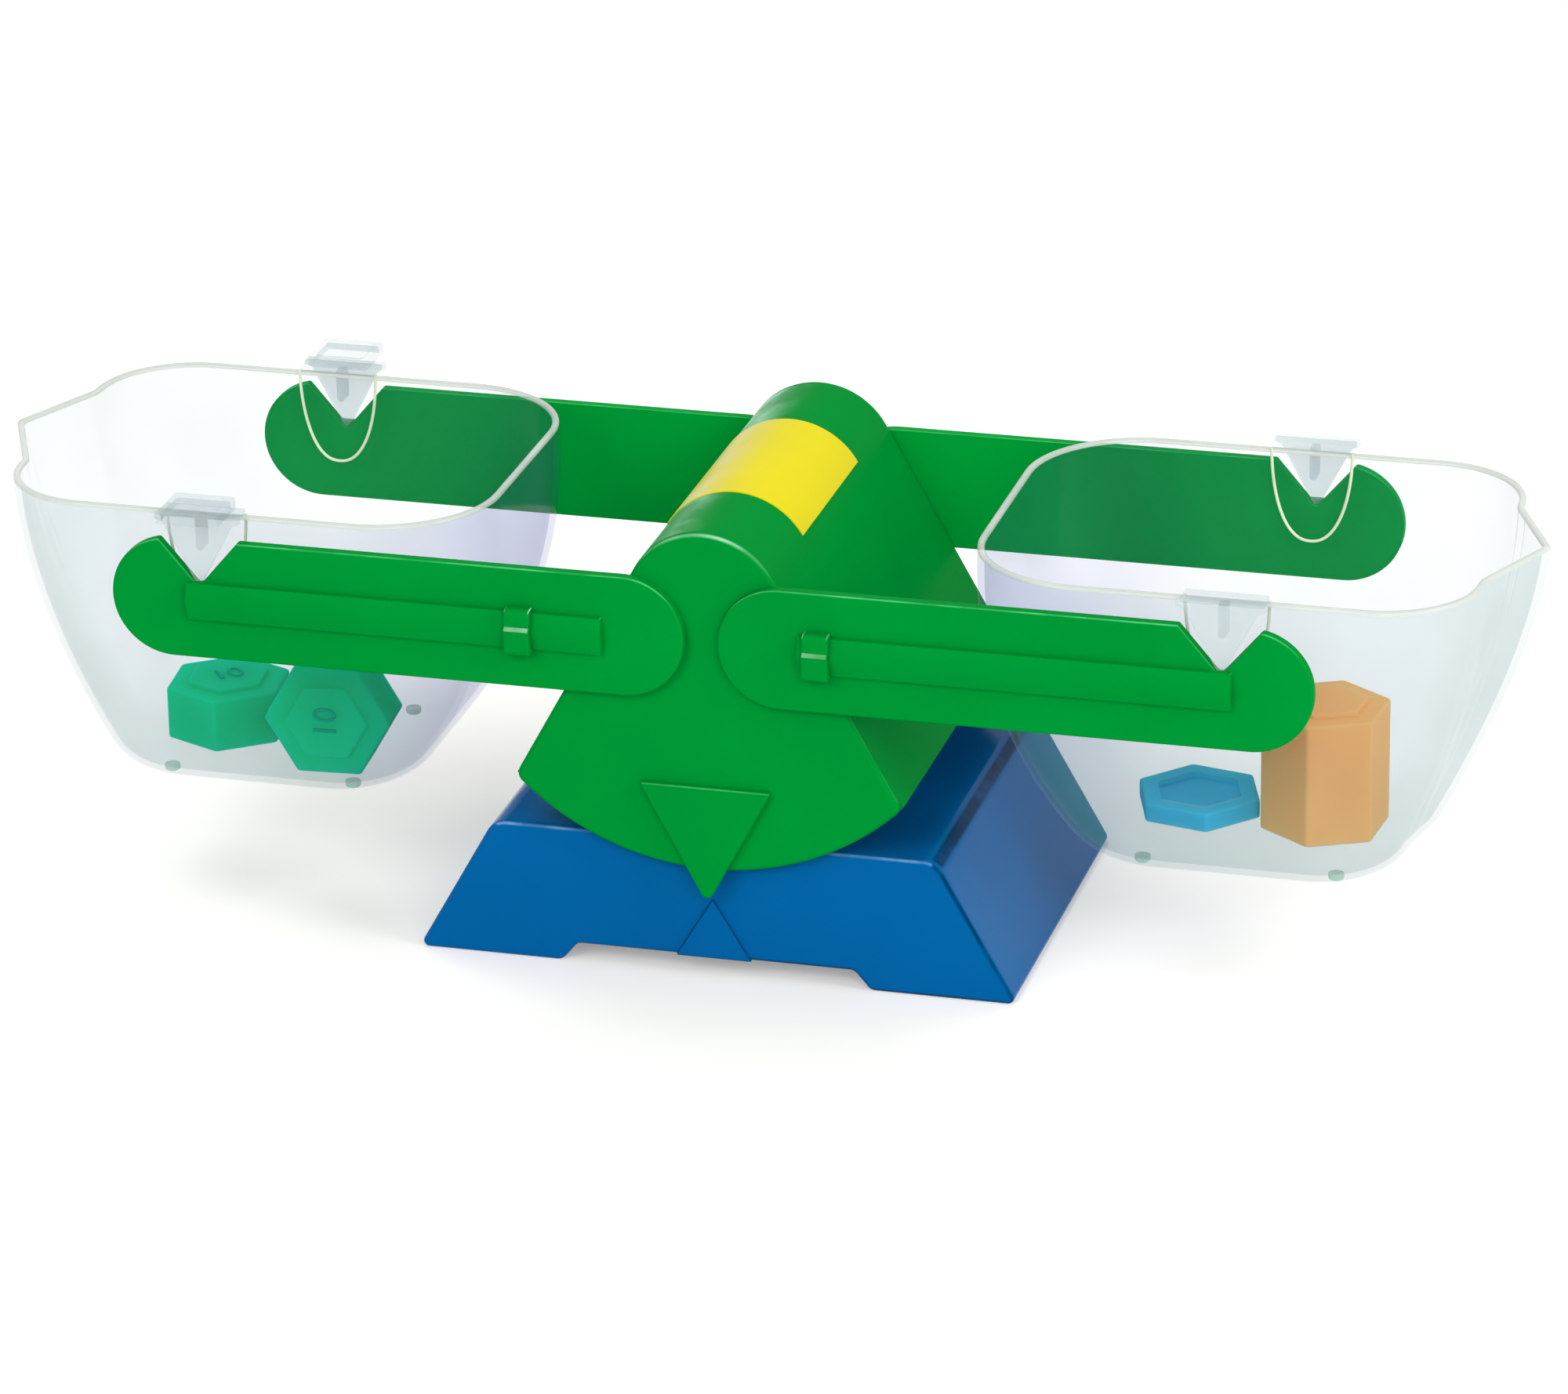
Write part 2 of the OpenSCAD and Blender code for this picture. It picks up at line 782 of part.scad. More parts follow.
// Hangers and their caps
module hanger(side, face) {
    top = rim_rise + shelf_t;
    wall_y = bucket_half - bucket_wall;
    color(clear)
    at_hang(side)
        on_face(face) {
            along_y(wall_y, bucket_half)
                tongue_outline(0, top);
            translate([-hanger_w / 2, wall_y, rim_rise])
                cube([hanger_w, blade_y + blade_t / 2 - wall_y, shelf_t]);
            along_y(blade_y - blade_t / 2, blade_y + blade_t / 2) {
                intersection() {
                    vee_outline(blade_angle, knife_r, top);
                    translate([-hanger_w / 2, -knife_r])
                        square([hanger_w, top + knife_r]);
                }
                translate([-hanger_w / 2, top - ear_h])
                    square([hanger_w, ear_h]);
            }
            along_y(bucket_half - bucket_wall / 2, blade_y) {
                translate([-rib_t / 2, top - rib_h])
                    square([rib_t, rib_h - shelf_t / 2]);
                translate([0, top - rib_h])
                    circle(rib_t / 2);
            }
        }
}

module left_front_hanger() {
    hanger(-1, -1);
}

module left_rear_hanger() {
    hanger(-1, 1);
}

module right_front_hanger() {
    hanger(1, -1);
}

module right_rear_hanger() {
    hanger(1, 1);
}

module cap(side, face) {
    y = bucket_half - bucket_wall;
    color(clear)
    at_hang(side)
        on_face(face)
            translate([0, y + cap_d / 2, rim_rise + shelf_t])
                difference() {
                    translate([-cap_w / 2, -cap_d / 2, 0])
                        cube([cap_w, cap_d, cap_h]);
                    translate([cap_wall - cap_w / 2, cap_wall - cap_d / 2, -over])
                        cube([cap_w - 2 * cap_wall, cap_d - 2 * cap_wall, cap_h - cap_wall + over]);
                    cylinder(r = cap_hole_d / 2, h = cap_h + over);
                }
}

module left_front_cap() {
    cap(-1, -1);
}

module left_rear_cap() {
    cap(-1, 1);
}

// Weights
module hexagon_prism(flats, h) {
    cylinder(r = flats / 2 / cos(30), h = h, $fn = 6);
}

// A weight of height h with a raised step on top and a hollow of the same shape underneath
module weight(h, hollow_h) {
    difference() {
        union() {
            hexagon_prism(weight_flats, h);
            hexagon_prism(step_flats, h + step_h);
        }
        translate([0, 0, -over])
            hexagon_prism(step_flats + 2 * stack_gap, hollow_h + over);
    }
}

module upright_weight() {
    color(teal)
    at_hang(-1)
        translate([upright_weight_x, -upright_weight_front, weight_z])
            rotate([0, 0, upright_turn])
                weight(weight_h, step_hollow_h);
}

module lying_weight() {
    x = upright_weight_x - 2 * weight_r - weight_gap;
    y = lying_weight_inset + weight_h / 2 - floor_half;
    color(teal)
    at_hang(-1)
        translate([x, y, weight_z + weight_flats / 2])
            rotate([0, 0, -lying_turn])
                rotate([90, 0, 0])
                    translate([0, 0, -weight_h / 2])
                        weight(weight_h, step_hollow_h);
}

module thin_weight() {
    color(sky)
    at_hang(1)
        translate([-thin_weight_x, 0, weight_z + thin_weight_h + step_h])
            rotate([180, 0, thin_turn])
                weight(thin_weight_h, step_hollow_h);
}

module tall_weight() {
    color(orange)
    at_hang(1)
        translate([weight_r + weight_flats / 2 + weight_gap - thin_weight_x, 0, weight_z])
            rotate([0, 0, tall_turn])
                weight(tall_weight_h, tall_hollow_h);
}

base_shell();
front_post();
rear_post();
front_bush();
rear_bush();
post_screws();
rocker_hood();
pivot_axle();
axle_clips();
pointer();
label();
front_left_arm();
front_right_arm();
rear_left_arm();
rear_right_arm();
left_slider();
right_slider();
left_bucket();
right_bucket();
left_front_hanger();
left_rear_hanger();
right_front_hanger();
right_rear_hanger();
left_front_cap();
left_rear_cap();
upright_weight();
lying_weight();
thin_weight();
tall_weight();
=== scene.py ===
import json
import math

import bmesh
import bpy
from bpy.props import FloatProperty, FloatVectorProperty, IntProperty, PointerProperty
from mathutils import Matrix, Vector


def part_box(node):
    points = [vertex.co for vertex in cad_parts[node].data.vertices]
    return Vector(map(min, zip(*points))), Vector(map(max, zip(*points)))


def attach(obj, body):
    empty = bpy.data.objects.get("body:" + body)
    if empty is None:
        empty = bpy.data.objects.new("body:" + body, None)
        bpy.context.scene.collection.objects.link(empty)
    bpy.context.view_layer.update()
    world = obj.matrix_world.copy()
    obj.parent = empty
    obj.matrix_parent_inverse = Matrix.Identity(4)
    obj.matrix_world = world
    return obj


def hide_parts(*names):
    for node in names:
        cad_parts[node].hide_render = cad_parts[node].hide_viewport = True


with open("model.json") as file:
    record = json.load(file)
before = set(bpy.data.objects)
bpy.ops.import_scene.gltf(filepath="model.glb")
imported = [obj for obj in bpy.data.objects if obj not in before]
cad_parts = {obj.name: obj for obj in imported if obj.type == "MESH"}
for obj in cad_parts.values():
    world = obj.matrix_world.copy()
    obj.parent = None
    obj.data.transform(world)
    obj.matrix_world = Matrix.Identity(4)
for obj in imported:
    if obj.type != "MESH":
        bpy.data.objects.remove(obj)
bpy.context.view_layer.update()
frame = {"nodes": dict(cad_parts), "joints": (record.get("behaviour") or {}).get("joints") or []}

bl_info = {
    "name": "Bucket balance",
    "version": (1, 0, 0),
    "blender": (4, 5, 0),
    "location": "View3D > Sidebar > Balance",
    "description": "Builds the moulded pieces, clear buckets, weights and studio stage of a bucket balance",
    "category": "Add Mesh",
}

JOINT_PLACES = {j["name"]: Vector(j["pos_m"]) for j in frame["joints"] if "pos_m" in j}
PIVOT = JOINT_PLACES["beam_rock"]
SIDES = {"left": -1, "right": 1}
FACES = {"front": -1, "rear": 1}
BASE_LOW, BASE_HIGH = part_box("base_shell")
HOOD_LOW, HOOD_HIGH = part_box("rocker_hood")
ARM_LOW, ARM_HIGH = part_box("rear_right_arm")
BUCKET_LOW, BUCKET_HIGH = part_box("right_bucket")
LABEL_LOW, LABEL_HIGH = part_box("label")
RIGHT_HANG = JOINT_PLACES["right_bucket_swing"]
# Name of the vertex layer that holds how strongly painted highlights and painted shade show at each point
PAINTED_LIGHT_MARK = "edge"

# Gaps in metres, too fine to see, that keep touching faces apart
HAIR_GAP = 1e-5
RIB_GAP = 1e-4

# A corner whose half angle is this near to a right angle, in radians, counts as straight
STRAIGHT = 0.01
# The shortest edge, in metres, that has a direction
SHORTEST = 1e-9
# The least divisor of an inset at a corner, which limits how far a sharp corner moves
SHARPEST = 0.3

# Steps round the curves
TUBE_STEPS = 40
SWEEP_STEPS = 60
LABEL_STEPS = 48
ARM_STEPS = 32
BASE_STEPS = 8
CORNER_STEPS = 6
LIP_STEPS = 4
MARK_STEPS = 3
RIM_STEPS = 8
FOOT_STEPS = 8
NUB_STEPS = 20
WEIGHT_STEPS = 4
BOX_STEPS = 4

# Radius of a rib's rounded end, as a share of its thickness
RIB_ROUND = 1 / 2.01
# Bends sharper than this many degrees are creases, on most pieces and on those with long soft curves
CREASE = 35
SOFT_CREASE = 50

# How the weights lie, as turns about X, in radians
UPRIGHT = 0
ON_SIDE = math.pi / 2
UPSIDE_DOWN = math.pi


def length(name, default, description):
    """A length setting in metres."""
    return FloatProperty(name=name, description=description, default=default, min=0, subtype="DISTANCE",
                         precision=5)


def amount(name, default, description):
    """A plain number setting that is not below zero."""
    return FloatProperty(name=name, description=description, default=default, min=0)


def position(name, default, description):
    """A place setting in metres."""
    return FloatVectorProperty(name=name, description=description, default=default, size=3,
                               subtype="TRANSLATION")


def angle(name, degrees, description):
    """An angle setting, written in degrees."""
    return FloatProperty(name=name, description=description, default=math.radians(degrees), subtype="ANGLE")


def share(name, default, description):
    """A setting between none and all."""
    return FloatProperty(name=name, description=description, default=default, min=0, max=1, subtype="FACTOR")


def colour(name, default, description):
    """A linear colour setting."""
    return FloatVectorProperty(name=name, description=description, default=default, size=3, min=0,
                               max=1, subtype="COLOR")


# Settings

class BaseSettings(bpy.types.PropertyGroup):
    """Sizes of the blue base"""
    span: length("Length", BASE_HIGH.x - BASE_LOW.x, "Length of the base on the table")
    depth: length("Depth", 2 * BASE_HIGH.y, "Depth from the front face to the back face")
    height: length("Height", BASE_HIGH.z, "Height of the flat top")
    slope: angle("Side slope", 29.5, "Lean of the long sides away from vertical")
    wall: length("Wall", 0.0025, "Thickness of the moulding")
    top_round: length("Top rounding", 0.006, "Radius of the two long top edges")
    # Painted highlight along the front's top edge over the lit share, and a painted dark reflection in the
    # right top rounding between its foot and head
    lit_share: share("Lit share", 0.125, "Share of the top rounding that carries the front's light line")
    reflection_low: share("Streak foot", 0.35, "Where the dark streak ends in the right top rounding")
    reflection_high: share("Streak head", 0.06, "Where the dark streak starts in the right top rounding")
    face_round: length("Face rounding", 0.0011, "Radius round the front and back faces")
    foot_round: length("Foot rounding", 0.0015, "Radius of the feet's lower corners")
    gap_span: length("Foot gap length", 0.072, "Length of the gap between the feet, at its top")
    gap_height: length("Foot gap height", 0.005, "Height of the gap between the feet")
    gap_slope: angle("Foot gap slope", 40, "Lean of the ends of the foot gap")
    gap_round: length("Foot gap rounding", 0.0026, "Radius of the corners of the foot gap")
    mark_width: length("Mark width", 0.020, "Width of the level mark at its foot")
    mark_height: length("Mark height", 0.0165, "Height of the level mark")
    mark_proud: length("Mark thickness", 0.0008, "How far the level mark stands proud")


class HoodSettings(bpy.types.PropertyGroup):
    """Sizes of the rocker hood, its pointer and its label"""
    tube: length("Tube radius", HOOD_HIGH.z - PIVOT.z, "Radius of the round top")
    slope: angle("Side slope", 29, "Lean of the sides away from vertical")
    sweep: length("Sweep radius", PIVOT.z - HOOD_LOW.z, "Radius of the lower edge about the pivot")
    half_depth: length("Half depth", HOOD_HIGH.y, "Distance from the middle to the outside of an end plate")
    wall: length("Wall", 0.0025, "Thickness of the moulding")
    lip_round: length("Lip rounding", 0.0013, "Radius round the end plates")
    corner_round: length("Corner rounding", 0.003, "Radius of the plates' lower corners")
    # A painted highlight on the tube's left, standing in for a lamp's reflection
    gleam_turn: angle("Gleam turn", 148, "Where the light gleam on the tube's left is strongest")
    gleam_spread: angle("Gleam spread", 60, "Angle over which the gleam fades towards the top")
    gleam_power: amount("Gleam strength", 4.0, "Strength of the gleam")
    boss: length("Boss radius", 0.006, "Radius of the bosses that hold the axle")
    boss_length: length("Boss length", 0.008, "Length of the bosses that hold the axle")
    pointer_width: length("Pointer width", 0.034, "Width of the pointer along its top edge")
    pointer_height: length("Pointer height", 0.0316, "Height to where the pointer's sides would meet")
    pointer_reach: length("Pointer reach", 0.0068, "How far the tip hangs below the hood")
    pointer_thick: length("Pointer thickness", 0.002, "Thickness of the pointer")
    pointer_tip: length("Pointer tip radius", 0.0016, "Radius of the pointer's lower tip")
    pointer_round: length("Pointer rounding", 0.0006, "Radius round the pointer's face")
    label_thick: length("Label thickness", 0.0003, "Thickness of the label film")
    label_angle: angle("Label angle", 120, "Angle that the label wraps round the tube")


class ArmSettings(bpy.types.PropertyGroup):
    """Sizes of the arms, their rails and their sliders"""
    height: length("Height", ARM_HIGH.z - ARM_LOW.z, "Height of each arm")
    thick: length("Thickness", 0.003, "Thickness of each arm")
    inner_end: length("Inner end", ARM_LOW.x, "Distance from the middle to the inner end")
    outer_end: length("Outer end", ARM_HIGH.x, "Distance from the middle to the outer end")
    edge_round: length("Edge rounding", 0.0006, "Radius round each arm's faces")
    notch_angle: angle("Notch half angle", 40.5, "Half the opening angle of the hanging notch")
    notch_round: length("Notch rounding", 0.00125, "Radius at the bottom of the notch")
    notch_lip: length("Notch lip rounding", 0.0008, "Radius of the notch's upper corners")
    rail_start: length("Rail start", 0.025, "Distance from the middle to the rail")
    rail_length: length("Rail length", 0.108, "Length of the rail")
    rail_height: length("Rail height", 0.0096, "Height of the rail's head")
    rail_proud: length("Rail depth", 0.0028, "How far the rail's ridge stands proud")
    rail_bevel: length("Rail bevel", 0.0014, "How far the rail's edges lie behind its ridge")
    rail_end: length("Rail end rounding", 0.0004, "Radius of the rail's ends")
    neck_height: length("Neck height", 0.0064, "Height of the neck behind the rail's head")
    neck_depth: length("Neck depth", 0.0015, "Depth of the neck behind the rail's head")
    peg: length("Peg radius", 0.0025, "Radius of the pegs that fix an arm")
    peg_start: length("First peg", 0.009, "Distance from the middle to the inner peg")
    peg_pitch: length("Peg pitch", 0.010, "Distance between an arm's two pegs")
    peg_length: length("Peg length", 0.0033, "How far the pegs stand out behind the arm")
    slider_height: length("Slider height", 0.012, "Height of a slider")
    slider_depth: length("Slider depth", 0.0046, "How far a slider stands proud of the arm")
    slider_round: length("Slider rounding", 0.0014, "Radius of a slider's long edges")
    slider_step: length("Slider step", 0.0007, "How far a slider's upper half lies behind its lower half")
    step_end: length("Step end", 0.00168, "Height over the middle at which a slider's step ends")
    # A painted highlight streak on the sliders' step, between its foot and head
    reflection_low: length("Streak foot", 0.00035, "Height over the middle at which a slider's streak starts")
    reflection_high: length("Streak head", 0.0021, "Height over the middle at which a slider's streak ends")
    slider_end: length("Slider end rounding", 0.0004, "Radius of a slider's ends")
    slider_gap: length("Slider clearance", 0.00025, "Clearance of a slider on its rail")


class BucketSettings(bpy.types.PropertyGroup):
    """Sizes of the clear buckets"""
    inner_reach: length("Inner reach", RIGHT_HANG.x - BUCKET_LOW.x,
                        "Length from the hanging point to the inner end")
    tip_reach: length("Spout reach", 0.070, "Length from the hanging point to the spout's corner")
    half_width: length("Half width", BUCKET_HIGH.y, "Half the width of the rim")
    rise: length("Rim rise", BUCKET_HIGH.z - RIGHT_HANG.z, "Height of the rim over the hanging point")
    height: length("Height", 0.0815, "Height from the underside to the rim")
    spout: length("Spout", 0.0115, "How far the spout stands out at the rim")
    floor_spout: length("Floor spout", 0.003, "How far the spout stands out at the floor")
    spout_share: share("Spout width", 0.49, "Width of the spout at the rim, as a share of the bucket's width")
    floor_spout_share: share("Floor spout width", 0.41, "That share at the floor")
    spout_root: length("Spout root", 0.010, "Radius where the spout leaves the end wall")
    wall: length("Wall", 0.0018, "Thickness of the walls")
    rim_band: length("Rim band", 0.0002, "Height of the frosted band under the rim's round top")
    floor: length("Floor", 0.002, "Thickness of the floor")
    taper_in: length("Inner taper", 0.027, "How far the inner end draws in")
    taper_side: length("Side taper", 0.016, "How far each side draws in")
    taper_tip: length("Spout taper", 0.030, "How far the spout draws in")
    rim_corner: length("Rim corner", 0.030, "Corner radius of the rim at the inner end")
    floor_corner: length("Floor corner", 0.020, "Corner radius of the floor")
    tip_round: length("Spout rounding", 0.003, "Radius of the spout's corner")
    bottom_round: length("Bottom rounding", 0.007, "Radius between the walls and the floor")
    wall_power: amount("Wall curve", 2.4, "Power of the walls' curve from the rim to the floor")
    spout_power: amount("Spout curve", 1.5, "Power of the spout's curve from the rim to the floor")
    nub: length("Nub radius", 0.002, "Radius of the small feet")
    nub_height: length("Nub height", 0.0016, "Height of the small feet")
    nub_pitch_x: length("Nub pitch along", 0.049, "Distance between the small feet along the beam")
    nub_pitch_y: length("Nub pitch across", 0.050, "Distance between the small feet across the beam")
    wall_steps: IntProperty(name="Wall steps", description="Rings up each wall", default=26, min=4)
    corner_steps: IntProperty(name="Corner steps", description="Points round each corner", default=14, min=3)


class HangerSettings(bpy.types.PropertyGroup):
    """Sizes of the hangers and their caps"""
    width: length("Width", 0.0208, "Width of a hanger")
    tongue: length("Tongue length", 0.024, "Length of the tongue in the bucket's wall")
    seam: length("Seam radius", 0.0004, "Radius of the seam round the tongue")
    seam_power: share("Seam curve", 0.87, "Fullness of the seam's curve, where 1 is an ellipse")
    seam_steps: IntProperty(name="Seam steps", description="Points along the seam", default=48, min=8)
    shelf: length("Shelf thickness", 0.0015, "Thickness of the shelf over the rim")
    blade: length("Blade thickness", 0.002, "Thickness of the pointed plate")
    blade_angle: angle("Blade half angle", 28, "Half the angle of the pointed plate")
    knife: length("Knife radius", 0.0012, "Radius of the pointed plate's tip")
    ear: length("Ear height", 0.0024, "Height of the ears at the plate's top")
    ear_reach: length("Ear reach", 0.0007, "How far the ears stand out sideways")
    rib: length("Rib thickness", 0.002, "Thickness of the rib under the shelf")
    rib_height: length("Rib height", 0.009, "Height of the rib under the shelf")
    edge_round: length("Edge rounding", 0.0003, "Radius of the hanger's edges")
    cap_width: length("Cap width", 0.0162, "Width of a cap")
    cap_depth: length("Cap depth", 0.015, "Depth of a cap")
    cap_wall: length("Cap wall", 0.001, "Wall of a cap")
    cap_corner: length("Cap corner", 0.001, "Radius of a cap's upright corners")
    cap_inner_corner: length("Cap inner corner", 0.0008, "Corner radius of a cap's inside and top")
    cap_land: length("Cap land", 0.0016, "Distance from a cap's side to the recess in its top")
    cap_recess: length("Cap recess", 0.0006, "Depth of the recess in a cap's top")
    cap_recess_in: length("Cap recess foot", 0.0019, "Distance from a cap's side to the foot of the recess")
    cap_recess_corner: length("Cap recess corner", 0.0006, "Corner radius at the foot of the recess")
    cap_dimple: length("Cap dimple", 0.0009, "Radius of the dimple in a cap's top")
    cap_dimple_mouth: length("Cap dimple mouth", 0.00135, "Radius of the dimple at its mouth")
    cap_dimple_depth: length("Cap dimple depth", 0.0002, "Depth of the dimple")


class WeightSettings(bpy.types.PropertyGroup):
    """Sizes of the hexagonal weights"""
    flats: length("Across flats", 0.0288, "Width across the flats")
    step_flats: length("Step across flats", 0.019, "Width of the raised step across its flats")
    step: length("Step height", 0.0012, "Height of the raised step")
    hollow_flats: length("Hollow across flats", 0.0198, "Width of the hollow across its flats")
    hollow: length("Hollow depth", 0.0016, "Depth of the hollow underneath")
    tall_hollow: length("Tall hollow depth", 0.0193, "Depth of the hollow under the tall weight")
    lying_height: length("Lying weight height", 0.014, "Height of the lying weight without its step")
    corner_round: length("Corner rounding", 0.0012, "Radius of the upright corners")
    edge_round: length("Edge rounding", 0.0007, "Radius of the level edges")
    upright_turn: angle("Upright weight turn", -36, "Turn of the upright weight about its own axis")
    lying_turn: angle("Lying weight turn", -4, "Turn of the lying weight about the upright")
    thin_turn: angle("Thin weight turn", -12, "Turn of the thin weight about its own axis")
    tall_turn: angle("Tall weight turn", 25, "Turn of the tall weight about its own axis")
    figure_height: length("Figure size", 0.0085, "Type size of the raised figures")
    figure_proud: length("Figure thickness", 0.00035, "How far the figures stand proud")


class FinishSettings(bpy.types.PropertyGroup):
    """Colours of the mouldings, with the painted highlights and the painted shade on them"""
    green: colour("Green", (0.0, 0.275, 0.034), "Hood, front arms, sliders and pointer")
    blue: colour("Blue", (0.001, 0.115, 0.345), "Base and posts")
    # The rear arms' green is painted lighter than the front green, standing in for light the rear arms lack
    lightened_rear_green: colour("Rear green", (0.0, 0.345, 0.043), "Rear arms")
    # Painted highlight colours: lines on up-facing edges, the gleam on the hood's tube, the streak on the
    # sliders' step and lines on the base's edges
    green_glint: colour("Green glint", (0.12, 0.62, 0.24), "Light line along the green pieces' edges")
    hood_glint: colour("Hood glint", (0.40, 0.80, 0.52), "Gleam along the left of the hood's tube")
    slider_glint: colour("Slider glint", (0.75, 0.95, 0.78), "Light streak on the sliders' step")
    blue_glint: colour("Blue glint", (0.30, 0.54, 0.88), "Light line along the base's edges")
    yellow: colour("Yellow", (0.80, 0.69, 0.003), "Label film")
    # Painted highlight colour along the label's left
    yellow_glint: colour("Yellow glint", (0.82, 0.78, 0.34), "Soft light along the label's left")
    clear: colour("Clear", (0.950, 0.953, 0.975), "Tint of the buckets")
    block: colour("Block", (0.940, 0.958, 0.970), "Tint of the hangers and caps")
    inner_tint: colour("Inner tint", (0.93, 0.92, 0.985), "Further tint of the buckets' inner ends")
    inner_full: length("Inner tint start", 0.062, "Distance from the middle up to which that tint is full")
    inner_none: length("Inner tint end", 0.105, "Distance from the middle at which that tint is gone")
    teal: colour("Teal", (0.0, 0.56, 0.26), "Middling weights")
    sky: colour("Sky", (0.06, 0.42, 0.77), "Thin weight")
    orange: colour("Orange", (1.0, 0.45, 0.17), "Tall weight")
    steel: colour("Steel", (0.52, 0.53, 0.55), "Axle, clips and screws")
    ivory: colour("Ivory", (0.82, 0.80, 0.70), "Bearing bushes")
    block_haze: share("Block haze", 0.22, "Haze of the hangers and caps where they face the eye")
    veil: colour("Veil", (0.05, 0.42, 0.24), "Colour of the haze in the buckets")
    pale: colour("Pale", (0.68, 0.77, 0.76), "Colour of the haze in the hangers and caps")
    frost: colour("Frost", (0.60, 0.65, 0.60), "Colour of the buckets' rims")
    seam: colour("Seam", (0.88, 0.94, 0.72), "Colour of the seams round the hangers' tongues")
    foot: colour("Foot", (0.25, 0.72, 0.52), "Colour of the buckets' small feet")
    frost_body: share("Frost body", 0.8, "How much the rims and seams hide what is behind them")
    foot_body: share("Foot body", 0.4, "How much the small feet hide what is behind them")
    haze: share("Haze", 0.06, "Haze of the buckets where they face the eye")
    edge_haze: share("Edge haze", 0.15, "Haze of the clear plastic where it is seen edge on")
    gloss: share("Gloss roughness", 0.24, "Roughness of the hood, the arms and the pointer")
    slider_gloss: share("Slider roughness", 0.12, "Roughness of the sliders")
    base_gloss: share("Base roughness", 0.168, "Roughness of the base and the posts")
    label_gloss: share("Label roughness", 0.3, "Roughness of the label")
    bush_gloss: share("Bush roughness", 0.5, "Roughness of the bearing bushes")
    weight_gloss: share("Weight roughness", 0.4, "Roughness of the weights")
    clear_gloss: share("Clear roughness", 0.1, "Roughness of the haze in the buckets")
    block_gloss: share("Block roughness", 0.15, "Roughness of the haze in the hangers and caps")
    frost_gloss: share("Frost roughness", 0.35, "Roughness of the rims, seams and small feet")
    steel_gloss: share("Steel roughness", 0.28, "Roughness of the axle, clips and screws")
    drift: share("Colour drift", 0.05, "How far a moulding's colour drifts from place to place")
    label_drift: share("Label drift", 0.03, "How far the label's colour drifts")
    glow: share("Glow", 0.6, "How much of the light on the teal and sky weights goes through them")
    orange_glow: share("Orange glow", 0.35, "How much of the light on the tall weight goes through it")
    glow_reach: length("Glow reach", 0.022, "How far light goes through the weights")
    soft_ior: amount("Soft gloss", 1.04, "Refractive index that gives the faint gloss of most mouldings")
    hard_ior: amount("Hard gloss", 1.15, "Refractive index that gives the gloss of the base, posts and label")


class StageSettings(bpy.types.PropertyGroup):
    """Camera, lamps and floor"""
    azimuth: angle("Azimuth", 15.70, "Turn of the view round the balance")
    elevation: angle("Elevation", 22.46, "Height of the view above the horizon")
    roll: angle("Roll", -0.99, "Turn of the picture")
    focal: amount("Focal length", 165.49, "Focal length in millimetres")
    sensor: amount("Sensor width", 36.0, "Width of the camera's sensor in millimetres")
    clip: length("Far clip", 50.0, "Distance beyond which the camera sees nothing")
    reach: length("Distance", 1.8326, "Distance from the camera to the aim point along the view")
    aim_height: length("Aim height", 0.0573, "Height of the aim point over the table")
    aim_pixel: FloatVectorProperty(name="Aim pixel", description="Where the aim point lies in the picture",
                                   default=(978.24, 875.95), size=2)
    picture: FloatVectorProperty(name="Picture", description="Size of the picture in pixels",
                                 default=(2000, 1778), size=2)
    sky_light: amount("Sky light", 0.32, "Light from all round")
    key_power: amount("Key lamp", 13.2, "Power in watts of the lamp at the upper left")
    key_place: position("Key place", (-0.6, -1.5, 1.05), "Where the key lamp stands")
    key_size: length("Key size", 1.0, "Width of the key lamp")
    top_power: amount("Top lamp", 6.0, "Power in watts of the lamp over the back")
    top_place: position("Top place", (-0.4, 0.6, 1.3), "Where the top lamp stands")
    fill_power: amount("Fill lamp", 10.3, "Power in watts of the lamp at the right")
    fill_place: position("Fill place", (0.8, -1.45, 0.9), "Where the fill lamp stands")
    side_power: amount("Side lamp", 13.0, "Power in watts of the lamp at the far right")
    side_place: position("Side place", (1.5, -0.3, 0.9), "Where the side lamp stands")
    lamp_size: length("Lamp size", 0.8, "Width of the top, fill and side lamps")
    floor_colour: colour("Floor", (0.815, 0.785, 0.755), "Colour of the table top")
    floor_half: length("Floor half width", 6.0, "Distance from the middle to the floor's sides")
    floor_lift: share("Floor lift", 0.28, "Brightness added to the floor round the base, as the eye sees it")
    bucket_lift: share("Floor lift under the buckets", 0.48, "Brightness added at the buckets' ends")
    far_lift: share("Far lift", 0.42, "Brightness added to the far floor")
    fade_reach: length("Fade reach", 1.2, "Distance at which the far brightness is reached")
    rim_lift: share("Rim lift", 0.85, "Brightness added to the floor towards the horizon")
    rim_reach: length("Rim reach", 3.0, "Distance at which the rim's brightness is reached")


# Outlines

def arc(x, y, r, start, end, steps):
    """Points of an arc, with its angles in radians."""
    turns = [start + (end - start) * k / steps for k in range(steps + 1)]
    return [(x + r * math.cos(t), y + r * math.sin(t)) for t in turns]


def corner(before, at, after, r, steps):
    """Points of a round of radius r at a corner."""
    a, b, c = Vector(before), Vector(at), Vector(after)
    u, w = (a - b).normalized(), (c - b).normalized()
    half = u.angle(w) / 2
    if r <= 0 or half > math.pi / 2 - STRAIGHT:
        return [tuple(b)]
    middle = b + (u + w).normalized() * (r / math.sin(half))
    start = b + u * (r / math.tan(half)) - middle
    end = b + w * (r / math.tan(half)) - middle
    turn = start.angle_signed(end)
    return [tuple(middle + Matrix.Rotation(-turn * k / steps, 2) @ start) for k in range(steps + 1)]


def rounded(points, steps=5):
    """An outline of corner points (x, y, radius) with each corner rounded."""
    outline = []
    for i, (x, y, r) in enumerate(points):
        before, after = points[i - 1], points[(i + 1) % len(points)]
        outline += corner(before[:2], (x, y), after[:2], r, steps)
    return outline


